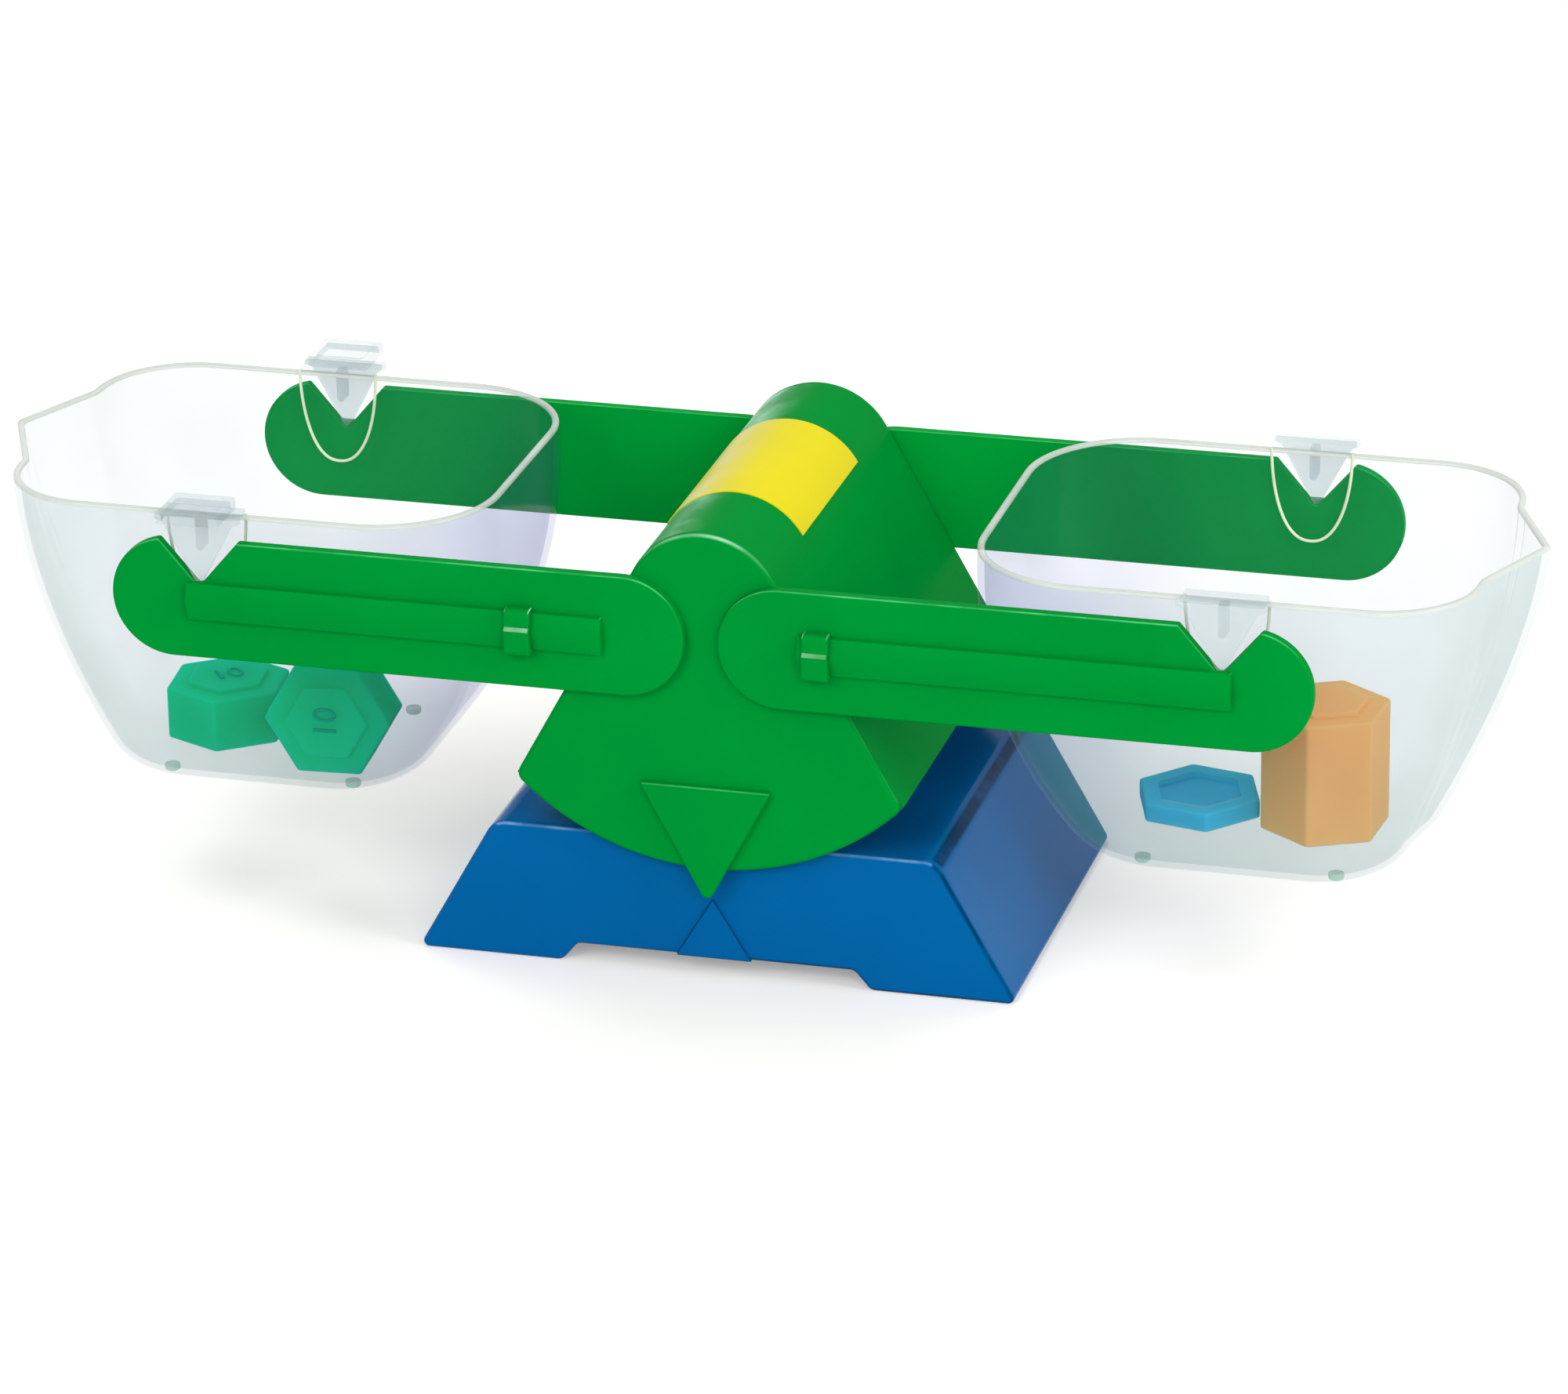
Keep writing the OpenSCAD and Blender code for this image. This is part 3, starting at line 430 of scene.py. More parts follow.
def inset(outline, d):
    """The outline, anticlockwise, drawn in by d."""
    moved = []
    for i, p in enumerate(outline):
        a, b, c = Vector(outline[i - 1]), Vector(p), Vector(outline[(i + 1) % len(outline)])
        u, w = b - a, c - b
        if min(u.length, w.length) < SHORTEST:
            moved.append(tuple(b))
            continue
        n = Vector((-u.y, u.x)).normalized()
        m = Vector((-w.y, w.x)).normalized()
        moved.append(tuple(b + (n + m) * (d / max(1 + n.dot(m), SHARPEST))))
    return moved


def circle(r, steps=32):
    """A round outline about the origin."""
    return arc(0, 0, r, 0, 2 * math.pi * (steps - 1) / steps, steps - 1)


# Meshes

def skin(bm, rings, painted_light_marks=None):
    """A closed skin over rings of the same number of points, with strengths for its painted highlights and
    painted shade.
    """
    edge = bm.verts.layers.float.get(PAINTED_LIGHT_MARK) or bm.verts.layers.float.new(PAINTED_LIGHT_MARK)
    rows = [[bm.verts.new(p) for p in ring] for ring in rings]
    for row, row_marks in zip(rows, painted_light_marks or []):
        for vert, mark in zip(row, row_marks):
            vert[edge] = mark
    count = len(rows[0])
    for low, high in zip(rows, rows[1:]):
        for i in range(count):
            j = (i + 1) % count
            bm.faces.new((low[i], low[j], high[j], high[i]))
    bm.faces.new(reversed(rows[0]))
    bm.faces.new(rows[-1])


def end_levels(at, r, steps, inward):
    """Levels over one end of a prism, from its face inwards, as (inset, place, mark), where the mark sets the
    strength of the painted highlight and painted shade on the rounding.
    """
    if not r:
        return [(0, at, 0)]
    turns = [math.pi / 2 * k / steps for k in range(steps + 1)]
    return [(r * (1 - math.sin(t)), at + inward * r * (1 - math.cos(t)), math.sin(2 * t)) for t in turns]


def prism(bm, outline, start, end, place, start_round=0, end_round=0, steps=3, painted_light_marks=None, lit=1):
    """An outline drawn out with rounded ends, where the given strengths and lit set painted highlights and
    painted shade on its edges.
    """
    levels = end_levels(start, start_round, steps, 1) + end_levels(end, end_round, steps, -1)[::-1]
    rings = [[place(u, v, w) for u, v in (inset(outline, d) if d else outline)] for d, w, _ in levels]
    own = painted_light_marks or [0] * len(outline)
    signs = lit if isinstance(lit, list) else [lit] * len(outline)
    skin(bm, rings, [[m or mark * sign for m, sign in zip(own, signs)] for _, _, mark in levels])


def tube(bm, path, r, steps=8):
    """A round rod along a path of points, with flat ends."""
    rings = []
    for i, p in enumerate(path):
        before, after = path[max(i - 1, 0)], path[min(i + 1, len(path) - 1)]
        along = (after - before).normalized()
        side = along.cross(Vector((0, 1, 0))).normalized()
        over = side.cross(along)
        turns = [2 * math.pi * k / steps for k in range(steps)]
        rings.append([p + r * (math.cos(t) * side + math.sin(t) * over) for t in turns])
    skin(bm, rings)


def along_y(u, v, w):
    """Places an outline drawn in X and Z, drawn out along Y."""
    return Vector((u, w, v))


def piece(bm, name, body, finish, nodes, sharp=CREASE):
    """Makes a piece of the object from a mesh and sets it on its body."""
    bmesh.ops.recalc_face_normals(bm, faces=bm.faces)
    for face in bm.faces:
        face.smooth = True
    for edge in bm.edges:
        edge.smooth = not (edge.is_manifold and edge.calc_face_angle(0) > math.radians(sharp))
    mesh = bpy.data.meshes.new(name)
    bm.to_mesh(mesh)
    bm.free()
    obj = bpy.data.objects.new(name, mesh)
    bpy.context.scene.collection.objects.link(obj)
    mesh.materials.append(finish)
    flat = obj.modifiers.new("Flat faces", "WEIGHTED_NORMAL")
    flat.keep_sharp = True
    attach(obj, body)
    if nodes:
        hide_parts(*nodes)
    return obj


# Finishes

# Noise scales, per metre
SMEAR_SCALE = 45.0
CLOUD_SCALE = 22.0
BREAK_SCALE = 90.0
FLOW_SCALE = 30.0
FROST_SCALE = 60.0
DRAWN_SCALE = (900.0, 20.0, 900.0)
MOULDED_GRAIN = 700.0
CLEAR_GRAIN = 120.0
FROST_GRAIN = 400.0
STEEL_GRAIN = 600.0

# Depths of the grain in metres, and the share of it that shows
MOULDED_DEPTH = 0.000008
CLEAR_DEPTH = 0.00003
FROST_DEPTH = 0.00002
STEEL_DEPTH = 0.00002
GRAIN_SHARE = 0.35

# Where in a noise the first and the second tone of a finish are full
NOISE_STOPS = (0.3, 0.7)
FLOW_STOPS = (0.25, 0.75)

# Levels of the first and the second tone, as shares of the tone that is set
SMEAR_LEVELS = (0.85, 1.2)
CLEAR_LEVELS = (0.985, 1.015)
VEIL_LEVELS = (0.95, 1.05)
FROST_LEVELS = (0.96, 1.04)
BODY_LEVELS = (0.9, 1.1)
STEEL_LEVELS = (0.85, 1.1)

# Painted highlight and painted shade lines on edges, as stops of (place, level): how far a face looks up, as
# the painted highlight shows where light falls from above, and how the noise breaks a line
UPWARD = ((0.4, 0), (0.75, 1))
BROKEN = ((0.4, 0.25), (0.7, 1))
STEADY = ((0.35, 0.6), (0.55, 1))
# Level of the painted shade on edges, as a share of the moulding's tone
PAINTED_SHADE = 0.25

# The haze of clear plastic, by how far it is seen edge on
HAZE_BLEND = 0.35
HAZE_STOPS = (0.1, 0.95)

# The least reach of a colour's glow, as a share of the strongest colour's reach
LEAST_GLOW = 0.3


def shader_node(tree, kind, inputs=None, **settings):
    """A node of a material, with its settings and constant inputs."""
    made = tree.nodes.new(kind)
    for name, value in settings.items():
        setattr(made, name, value)
    for name, value in (inputs or {}).items():
        made.inputs[name].default_value = value
    return made


def noise(tree, vector, scale, detail):
    """A noise over a vector."""
    made = shader_node(tree, "ShaderNodeTexNoise", {"Scale": scale, "Detail": detail})
    tree.links.new(vector, made.inputs["Vector"])
    return made.outputs["Fac"]


def math_node(tree, operation, first, second=None, **settings):
    """The result of a sum on one or two sockets."""
    made = shader_node(tree, "ShaderNodeMath", operation=operation, **settings)
    tree.links.new(first, made.inputs[0])
    if second is not None:
        tree.links.new(second, made.inputs[1])
    return made.outputs["Value"]


def tone_ramp(tree, source, stops):
    """A colour ramp over a source, with stops of (place, colour)."""
    ramp = shader_node(tree, "ShaderNodeValToRGB")
    ramp.color_ramp.elements[0].position, ramp.color_ramp.elements[0].color = stops[0]
    ramp.color_ramp.elements[1].position, ramp.color_ramp.elements[1].color = stops[-1]
    for place, tone in stops[1:-1]:
        ramp.color_ramp.elements.new(place).color = tone
    tree.links.new(source, ramp.inputs["Fac"])
    return ramp.outputs["Color"]


def grey_ramp(tree, source, stops):
    """A ramp of greys over a source, with stops of (place, level)."""
    return tone_ramp(tree, source, [(place, (level, level, level, 1)) for place, level in stops])


def shaded(tone, factor=1):
    """A colour made lighter or darker, with full alpha."""
    return tuple(min(c * factor, 1) for c in tone) + (1,)


def two_tones(tree, source, tone, levels, places=NOISE_STOPS):
    """A tone that drifts over a source between two levels."""
    return tone_ramp(tree, source, [(place, shaded(tone, level)) for place, level in zip(places, levels)])


def two_greys(tree, source, value, levels, places=NOISE_STOPS):
    """A value that drifts over a source between two levels."""
    return grey_ramp(tree, source, [(place, value * level) for place, level in zip(places, levels)])


def open_finish(name):
    """A new material with its node tree, its shader and its output."""
    finish = bpy.data.materials.new(name)
    finish.use_nodes = True
    tree = finish.node_tree
    tree.nodes.clear()
    out = shader_node(tree, "ShaderNodeOutputMaterial")
    shader = shader_node(tree, "ShaderNodeBsdfPrincipled")
    tree.links.new(shader.outputs["BSDF"], out.inputs["Surface"])
    return finish, tree, shader, out


def surface_detail(tree, shader, roughness, grain_scale, grain_depth):
    """Uneven gloss and a fine moulded grain; gives the coordinates that both use."""
    coord = shader_node(tree, "ShaderNodeTexCoord").outputs["Object"]
    smear = noise(tree, coord, SMEAR_SCALE, detail=4.0)
    tree.links.new(two_greys(tree, smear, roughness, SMEAR_LEVELS), shader.inputs["Roughness"])
    bump = shader_node(tree, "ShaderNodeBump", {"Strength": GRAIN_SHARE, "Distance": grain_depth})
    tree.links.new(noise(tree, coord, grain_scale, detail=2.0), bump.inputs["Height"])
    tree.links.new(bump.outputs["Normal"], shader.inputs["Normal"])
    return coord


def moulded_finish(name, s, tone, roughness, drift=None, glow=0, glint=None, ior=None):
    """A moulded plastic with a little drift of colour, and painted highlights and painted shade on its edges
    where asked.
    """
    finish, tree, shader, _ = open_finish(name)
    coord = surface_detail(tree, shader, roughness, MOULDED_GRAIN, MOULDED_DEPTH)
    drift = drift or s.drift
    body = two_tones(tree, noise(tree, coord, CLOUD_SCALE, detail=3.0), tone, (1 - drift, 1 + drift))
    shader.inputs["IOR"].default_value = ior or s.soft_ior
    top = max(tone)
    shader.inputs["Specular Tint"].default_value = shaded(tone, 1 / top)
    # Painted highlights and painted shade on the edges
    if glint:
        body = lit_edges(tree, coord, body, shaded(glint), shaded(tone, PAINTED_SHADE))
    tree.links.new(body, shader.inputs["Base Color"])
    if glow:
        shader.inputs["Subsurface Weight"].default_value = glow
        reach = tuple(LEAST_GLOW + (1 - LEAST_GLOW) * c / top for c in tone)
        shader.inputs["Subsurface Radius"].default_value = reach
        shader.inputs["Subsurface Scale"].default_value = s.glow_reach
    return finish


def lit_edges(tree, coord, body, glint, shade):
    """Fine broken painted highlights on marked edges that face up, and painted shade lines where the mark is
    below zero.
    """
    mark = shader_node(tree, "ShaderNodeAttribute", attribute_name=PAINTED_LIGHT_MARK).outputs["Fac"]
    shape = shader_node(tree, "ShaderNodeNewGeometry")
    parts = shader_node(tree, "ShaderNodeSeparateXYZ")
    tree.links.new(shape.outputs["Normal"], parts.inputs["Vector"])
    # The painted highlight shows only on faces that look up, as light falls from above
    upward = grey_ramp(tree, parts.outputs["Z"], UPWARD)
    breaks = noise(tree, coord, BREAK_SCALE, detail=4.0)
    broken, steady = grey_ramp(tree, breaks, BROKEN), grey_ramp(tree, breaks, STEADY)
    turned = shader_node(tree, "ShaderNodeMath", operation="SUBTRACT")
    turned.inputs[0].default_value = 0
    tree.links.new(mark, turned.inputs[1])
    lines = ((glint, mark, (upward, broken)), (shade, turned.outputs["Value"], (steady,)))
    for line, strength, factors in lines:
        for factor in factors:
            strength = math_node(tree, "MULTIPLY", strength, factor, use_clamp=True)
        mix = shader_node(tree, "ShaderNodeMix", data_type="RGBA")
        tree.links.new(strength, mix.inputs["Factor"])
        tree.links.new(body, mix.inputs["A"])
        mix.inputs["B"].default_value = line
        body = mix.outputs["Result"]
    return body


def clear_finish(name, s, tone, veil, haze, roughness):
    """Thin clear plastic: a faint tint, another near the hood, and a haze that is stronger edge on."""
    finish, tree, shader, out = open_finish(name)
    coord = surface_detail(tree, shader, roughness, CLEAR_GRAIN, CLEAR_DEPTH)
    flow = noise(tree, coord, FLOW_SCALE, detail=2.0)
    tint = two_tones(tree, flow, tone, CLEAR_LEVELS, FLOW_STOPS)
    tree.links.new(two_tones(tree, flow, veil, VEIL_LEVELS, FLOW_STOPS), shader.inputs["Base Color"])
    parts = shader_node(tree, "ShaderNodeSeparateXYZ")
    tree.links.new(coord, parts.inputs["Vector"])
    away = math_node(tree, "ABSOLUTE", parts.outputs["X"])
    inner = tone_ramp(tree, away, [(s.inner_full, shaded(s.inner_tint)), (s.inner_none, (1, 1, 1, 1))])
    both = shader_node(tree, "ShaderNodeMix", {"Factor": 1.0}, data_type="RGBA", blend_type="MULTIPLY")
    tree.links.new(tint, both.inputs["A"])
    tree.links.new(inner, both.inputs["B"])
    through = shader_node(tree, "ShaderNodeBsdfTransparent")
    tree.links.new(both.outputs["Result"], through.inputs["Color"])
    facing = shader_node(tree, "ShaderNodeLayerWeight", {"Blend": HAZE_BLEND})
    mix = shader_node(tree, "ShaderNodeMixShader")
    tree.links.new(grey_ramp(tree, facing.outputs["Facing"], list(zip(HAZE_STOPS, haze))), mix.inputs["Fac"])
    tree.links.new(through.outputs["BSDF"], mix.inputs[1])
    tree.links.new(shader.outputs["BSDF"], mix.inputs[2])
    tree.links.new(mix.outputs["Shader"], out.inputs["Surface"])
    return finish


def frosted_finish(name, s, tone, body):
    """Pale, partly see-through plastic of the rims, the seams and the small feet."""
    finish, tree, shader, _ = open_finish(name)
    coord = surface_detail(tree, shader, s.frost_gloss, FROST_GRAIN, FROST_DEPTH)
    cloud = noise(tree, coord, FROST_SCALE, detail=3.0)
    tree.links.new(two_tones(tree, cloud, tone, FROST_LEVELS), shader.inputs["Base Color"])
    tree.links.new(two_greys(tree, cloud, body, BODY_LEVELS), shader.inputs["Alpha"])
    return finish


def steel_finish(name, s):
    """Plain bright steel with fine drawn lines along Y."""
    finish, tree, shader, _ = open_finish(name)
    shader.inputs["Metallic"].default_value = 1.0
    coord = surface_detail(tree, shader, s.steel_gloss, STEEL_GRAIN, STEEL_DEPTH)
    stretch = shader_node(tree, "ShaderNodeMapping", {"Scale": DRAWN_SCALE})
    tree.links.new(coord, stretch.inputs["Vector"])
    lines = noise(tree, stretch.outputs["Vector"], scale=1.0, detail=3.0)
    tree.links.new(two_tones(tree, lines, s.steel, STEEL_LEVELS), shader.inputs["Base Color"])
    return finish


def finish_for(kind):
    """One of the object's materials, made on first use."""
    name = kind + "_finish"
    ready = bpy.data.materials.get(name)
    if ready:
        return ready
    s = bpy.context.scene.balance_finish
    clear_haze, block_haze = (s.haze, s.edge_haze), (s.block_haze, s.edge_haze)
    makers = {
        # Finishes with a glint carry painted highlights and painted shade on their edges; the rear arms'
        # green is painted lighter
        "green_plastic": lambda: moulded_finish(name, s, s.green, s.gloss, glint=s.green_glint),
        "green_rear_lightened": lambda: moulded_finish(name, s, s.lightened_rear_green, s.gloss, glint=s.green_glint),
        "green_hood": lambda: moulded_finish(name, s, s.green, s.gloss, glint=s.hood_glint),
        "green_gloss": lambda: moulded_finish(name, s, s.green, s.slider_gloss, glint=s.slider_glint),
        "blue_plastic": lambda: moulded_finish(name, s, s.blue, s.base_gloss, glint=s.blue_glint,
                                               ior=s.hard_ior),
        "yellow_label": lambda: moulded_finish(name, s, s.yellow, s.label_gloss, drift=s.label_drift,
                                               glint=s.yellow_glint, ior=s.hard_ior),
        "ivory_plastic": lambda: moulded_finish(name, s, s.ivory, s.bush_gloss),
        "teal_plastic": lambda: moulded_finish(name, s, s.teal, s.weight_gloss, glow=s.glow),
        "sky_plastic": lambda: moulded_finish(name, s, s.sky, s.weight_gloss, glow=s.glow),
        "orange_plastic": lambda: moulded_finish(name, s, s.orange, s.weight_gloss, glow=s.orange_glow),
        "clear_plastic": lambda: clear_finish(name, s, s.clear, s.veil, clear_haze, s.clear_gloss),
        "clear_block": lambda: clear_finish(name, s, s.block, s.pale, block_haze, s.block_gloss),
        "frosted_edge": lambda: frosted_finish(name, s, s.frost, s.frost_body),
        "frosted_seam": lambda: frosted_finish(name, s, s.seam, s.frost_body),
        "frosted_foot": lambda: frosted_finish(name, s, s.foot, s.foot_body),
        "steel": lambda: steel_finish(name, s),
    }
    return makers[kind]()


# Base and pivot

def base_side(s, wall):
    """Half the length at the foot and at the shoulder, drawn in by a wall, and the height."""
    top = s.height - wall
    foot = s.span / 2 - wall / math.cos(s.slope)
    return foot, foot - top * math.tan(s.slope), top


class BALANCE_OT_base(bpy.types.Operator):
    """Build the wedge-shaped base with its feet and level mark"""
    bl_idname = "balance.base"
    bl_label = "Base"

    def execute(self, context):
        s = context.scene.balance_base
        foot, shoulder, top = base_side(s, 0)
        gap = s.gap_span / 2
        spread = gap + s.gap_height * math.tan(s.gap_slope)
        face = rounded([
            (-foot, 0, s.foot_round), (-spread, 0, s.gap_round), (-gap, s.gap_height, s.gap_round),
            (gap, s.gap_height, s.gap_round), (spread, 0, s.gap_round), (foot, 0, s.foot_round),
            (shoulder, top, s.top_round), (-shoulder, top, s.top_round)], BASE_STEPS)
        in_foot, in_shoulder, in_top = base_side(s, s.wall)
        in_round = s.top_round - s.wall
        roof = rounded([
            (in_foot, 0, 0), (foot, 0, s.foot_round), (shoulder, top, s.top_round),
            (-shoulder, top, s.top_round), (-foot, 0, s.foot_round), (-in_foot, 0, 0),
            (-in_shoulder, in_top, in_round), (in_shoulder, in_top, in_round)], BASE_STEPS)
        half = s.depth / 2
        # Painted highlight along the front's top rounding, painted shade along the front edge's right part,
        # and a painted dark reflection in the right top rounding
        lit_from = top - s.lit_share * s.top_round
        edge = [1 if v > lit_from else -int(u > 0) for u, v in face]
        bend_low, bend_high = top - s.reflection_low * s.top_round, top - s.reflection_high * s.top_round
        streak = [-int(u > 0 and bend_low < v < bend_high) for u, v in roof]
        bm = bmesh.new()
        prism(bm, face, -half, s.wall - half, along_y, start_round=s.face_round, lit=edge)
        prism(bm, face, half - s.wall, half, along_y, end_round=s.face_round)
        prism(bm, roof, s.wall - half, half - s.wall, along_y, painted_light_marks=streak)
        mark_round = s.mark_proud / 2
        mark = rounded([(-s.mark_width / 2, s.gap_height, mark_round),
                        (s.mark_width / 2, s.gap_height, mark_round),
                        (0, s.gap_height + s.mark_height, mark_round)], MARK_STEPS)
        # The level mark's rounded edges carry painted shade
        prism(bm, mark, -half - s.mark_proud, -half + s.wall / 2, along_y, start_round=mark_round, lit=-1)
        piece(bm, "base_moulding", "base", finish_for("blue_plastic"), ["base_shell"])
        return {"FINISHED"}


class BALANCE_OT_pivot(bpy.types.Operator):
    """Finish the posts, bushes, axle, clips and screws that the frame carries"""
    bl_idname = "balance.pivot"
    bl_label = "Posts and axle"

    def execute(self, context):
        kept = {
            "front_post": "blue_plastic", "rear_post": "blue_plastic", "front_bush": "ivory_plastic",
            "rear_bush": "ivory_plastic", "pivot_axle": "steel", "axle_clips": "steel",
            "post_screws": "steel"}
        for name, slot in kept.items():
            obj = frame["nodes"][name]
            obj.data.materials.clear()
            obj.data.materials.append(finish_for(slot))
        return {"FINISHED"}


# Rocker hood

def at_pivot(u, v, w):
    """Places an outline drawn about the pivot, drawn out along Y."""
    return Vector((u, w, v + PIVOT.z))


def hood_corner(s, r):
    """The lower right corner of the hood, where a side of the given tube radius meets the sweep."""
    run = math.sqrt(s.sweep ** 2 - r ** 2)
    lean_x, lean_y = math.cos(s.slope), math.sin(s.slope)
    return Vector((r * lean_x + run * lean_y, r * lean_y - run * lean_x))


def gleam_marks(s, points):
    """Strengths of the painted highlight, a soft gleam, along the left of the tube."""
    painted_light_marks = []
    for x, y in points:
        short = s.gleam_turn - math.atan2(y, x)
        painted_light_marks.append(s.gleam_power * max(1 - short / s.gleam_spread, 0) ** 2 if short > 0 else 0)
    return painted_light_marks


class BALANCE_OT_hood(bpy.types.Operator):
    """Build the rocker hood with its round top and swept lower edge"""
    bl_idname = "balance.hood"
    bl_label = "Rocker hood"

    def execute(self, context):
        s = context.scene.balance_hood
        low = hood_corner(s, s.tube)
        top = arc(0, 0, s.tube, s.slope, math.pi - s.slope, TUBE_STEPS)
        turn = math.atan2(low.y, low.x)
        tangent = Vector((low.y, -low.x)).normalized()
        clear = s.corner_round / s.sweep
        sweep = arc(0, 0, s.sweep, -math.pi - turn + clear, turn - clear, SWEEP_STEPS)
        right = corner(low + tangent * s.corner_round * 2, low, top[0], s.corner_round, CORNER_STEPS)
        left = [(-x, y) for x, y in reversed(right)]
        plate = top + left + sweep + right
        inner_low = hood_corner(s, s.tube - s.wall)
        inner = arc(0, 0, s.tube - s.wall, math.pi - s.slope, s.slope, TUBE_STEPS)
        left_edge = [(-low.x, low.y), (-inner_low.x, inner_low.y)]
        roof = top + left_edge + inner + [tuple(inner_low), tuple(low)]
        in_y = s.half_depth - s.wall
        # Painted highlight along the left of the tube
        gleam = gleam_marks(s, top) + [0] * (len(roof) - len(top))
        bm = bmesh.new()
        prism(bm, plate, -s.half_depth, -in_y, at_pivot, start_round=s.lip_round)
        prism(bm, plate, in_y, s.half_depth, at_pivot, end_round=s.lip_round)
        prism(bm, roof, -in_y, in_y, at_pivot, painted_light_marks=gleam)
        for face in FACES.values():
            prism(bm, circle(s.boss), face * in_y, face * (in_y - s.boss_length), at_pivot)
        piece(bm, "hood_moulding", "beam", finish_for("green_hood"), ["rocker_hood"])
        return {"FINISHED"}


class BALANCE_OT_pointer(bpy.types.Operator):
    """Build the pointer and the label of the hood"""
    bl_idname = "balance.pointer"
    bl_label = "Pointer and label"

    def execute(self, context):
        s = context.scene.balance_hood
        half_angle = math.atan(s.pointer_width / 2 / s.pointer_height)
        apex = s.pointer_tip - s.sweep - s.pointer_reach - s.pointer_tip / math.sin(half_angle)
        top = apex + s.pointer_height
        half = s.pointer_width / 2
        shape = rounded([(0, apex, s.pointer_tip), (half, top, s.pointer_round),
                         (-half, top, s.pointer_round)])
        bm = bmesh.new()
        front = -s.half_depth - s.pointer_thick
        prism(bm, shape, front, -s.half_depth, at_pivot, start_round=s.pointer_round)
        piece(bm, "pointer_plate", "beam", finish_for("green_plastic"), ["pointer"])
        start = (math.pi - s.label_angle) / 2
        radius = LABEL_HIGH.z - PIVOT.z
        outer = arc(0, 0, radius, start, math.pi - start, LABEL_STEPS)
        under = arc(0, 0, radius - s.label_thick, math.pi - start, start, LABEL_STEPS)
        bm = bmesh.new()
        # Painted highlight along the label's left
        gleam = gleam_marks(s, outer) + [0] * len(under)
        prism(bm, outer + under, LABEL_LOW.y, LABEL_HIGH.y, at_pivot, painted_light_marks=gleam)
        piece(bm, "label_film", "beam", finish_for("yellow_label"), ["label"])
        return {"FINISHED"}


# Arms and sliders

def arm_outline(s, hang):
    """An arm in X and Z, with its hanging notch cut into the outer end's round."""
    r = s.height / 2
    middle = (ARM_LOW.z + ARM_HIGH.z) / 2
    tip = Vector((hang.x, hang.z - s.notch_round / math.sin(s.notch_angle)))
    out = Vector((math.sin(s.notch_angle), math.cos(s.notch_angle)))
    back = tip - Vector((s.outer_end - r, middle))
    run = -back.dot(out) + math.sqrt(back.dot(out) ** 2 - back.length_squared + r * r)
    lip = back + out * run
    turn = math.atan2(lip.y, lip.x)
    lip += Vector((s.outer_end - r, middle))
    ahead = lip + Vector((math.sin(turn), -math.cos(turn))) * r
    top = middle + r
    inner = (hang.x - (top - tip.y) * math.tan(s.notch_angle), top)
    notch = (corner(ahead, lip, tip, s.notch_lip, LIP_STEPS)
             + corner(lip, tip, inner, s.notch_round, CORNER_STEPS)
             + corner(tip, inner, (s.inner_end, top), s.notch_lip, LIP_STEPS))
    return (arc(s.outer_end - r, middle, r, -math.pi / 2, turn - s.notch_lip / r, ARM_STEPS) + notch
            + arc(s.inner_end + r, middle, r, math.pi / 2, 3 * math.pi / 2, ARM_STEPS))


def rail_section(s, gap):
    """A rail's head from its lower edge up, as depth from the arm and height, grown by a gap."""
    half = s.rail_height / 2 + gap
    edge = s.rail_proud - s.rail_bevel + gap
    return [(s.neck_depth - gap, -half), (edge, -half), (s.rail_proud + gap, 0), (edge, half),
            (s.neck_depth - gap, half)]


class BALANCE_OT_arms(bpy.types.Operator):
    """Build the four arms with their rails and pegs"""
    bl_idname = "balance.arms"
    bl_label = "Arms"

    def execute(self, context):
        s = context.scene.balance_arms
        middle = (ARM_LOW.z + ARM_HIGH.z) / 2
        inner_y = context.scene.balance_hood.half_depth
        outer_y = inner_y + s.thick
        outline = arm_outline(s, RIGHT_HANG)
        root = -s.thick / 4
        head = rail_section(s, 0)
        rail = [(root, head[0][1])] + head[1:-1] + [(root, head[-1][1])]
        for side_name, side in SIDES.items():
            for face_name, face in FACES.items():
                bm = bmesh.new()
                prism(bm, outline, inner_y, outer_y, lambda u, v, w: Vector((side * u, face * w, v)),
                      start_round=s.edge_round / 2, end_round=s.edge_round)
                prism(bm, rail, s.rail_start, s.rail_start + s.rail_length,
                      lambda u, v, w: Vector((side * w, face * (outer_y + u), middle + v)),
                      start_round=s.rail_end, end_round=s.rail_end)
                for x in (s.peg_start, s.peg_start + s.peg_pitch):
                    prism(bm, circle(s.peg), inner_y - s.peg_length, inner_y + s.thick / 2,
                          lambda u, v, w: Vector((side * (x + u), face * w, middle + v)))
                node = f"{face_name}_{side_name}_arm"
                # The rear arms take the green that is painted lighter, standing in for light they lack
                finish = finish_for("green_rear_lightened" if face > 0 else "green_plastic")
                piece(bm, node + "_moulding", "beam", finish, [node])
        return {"FINISHED"}


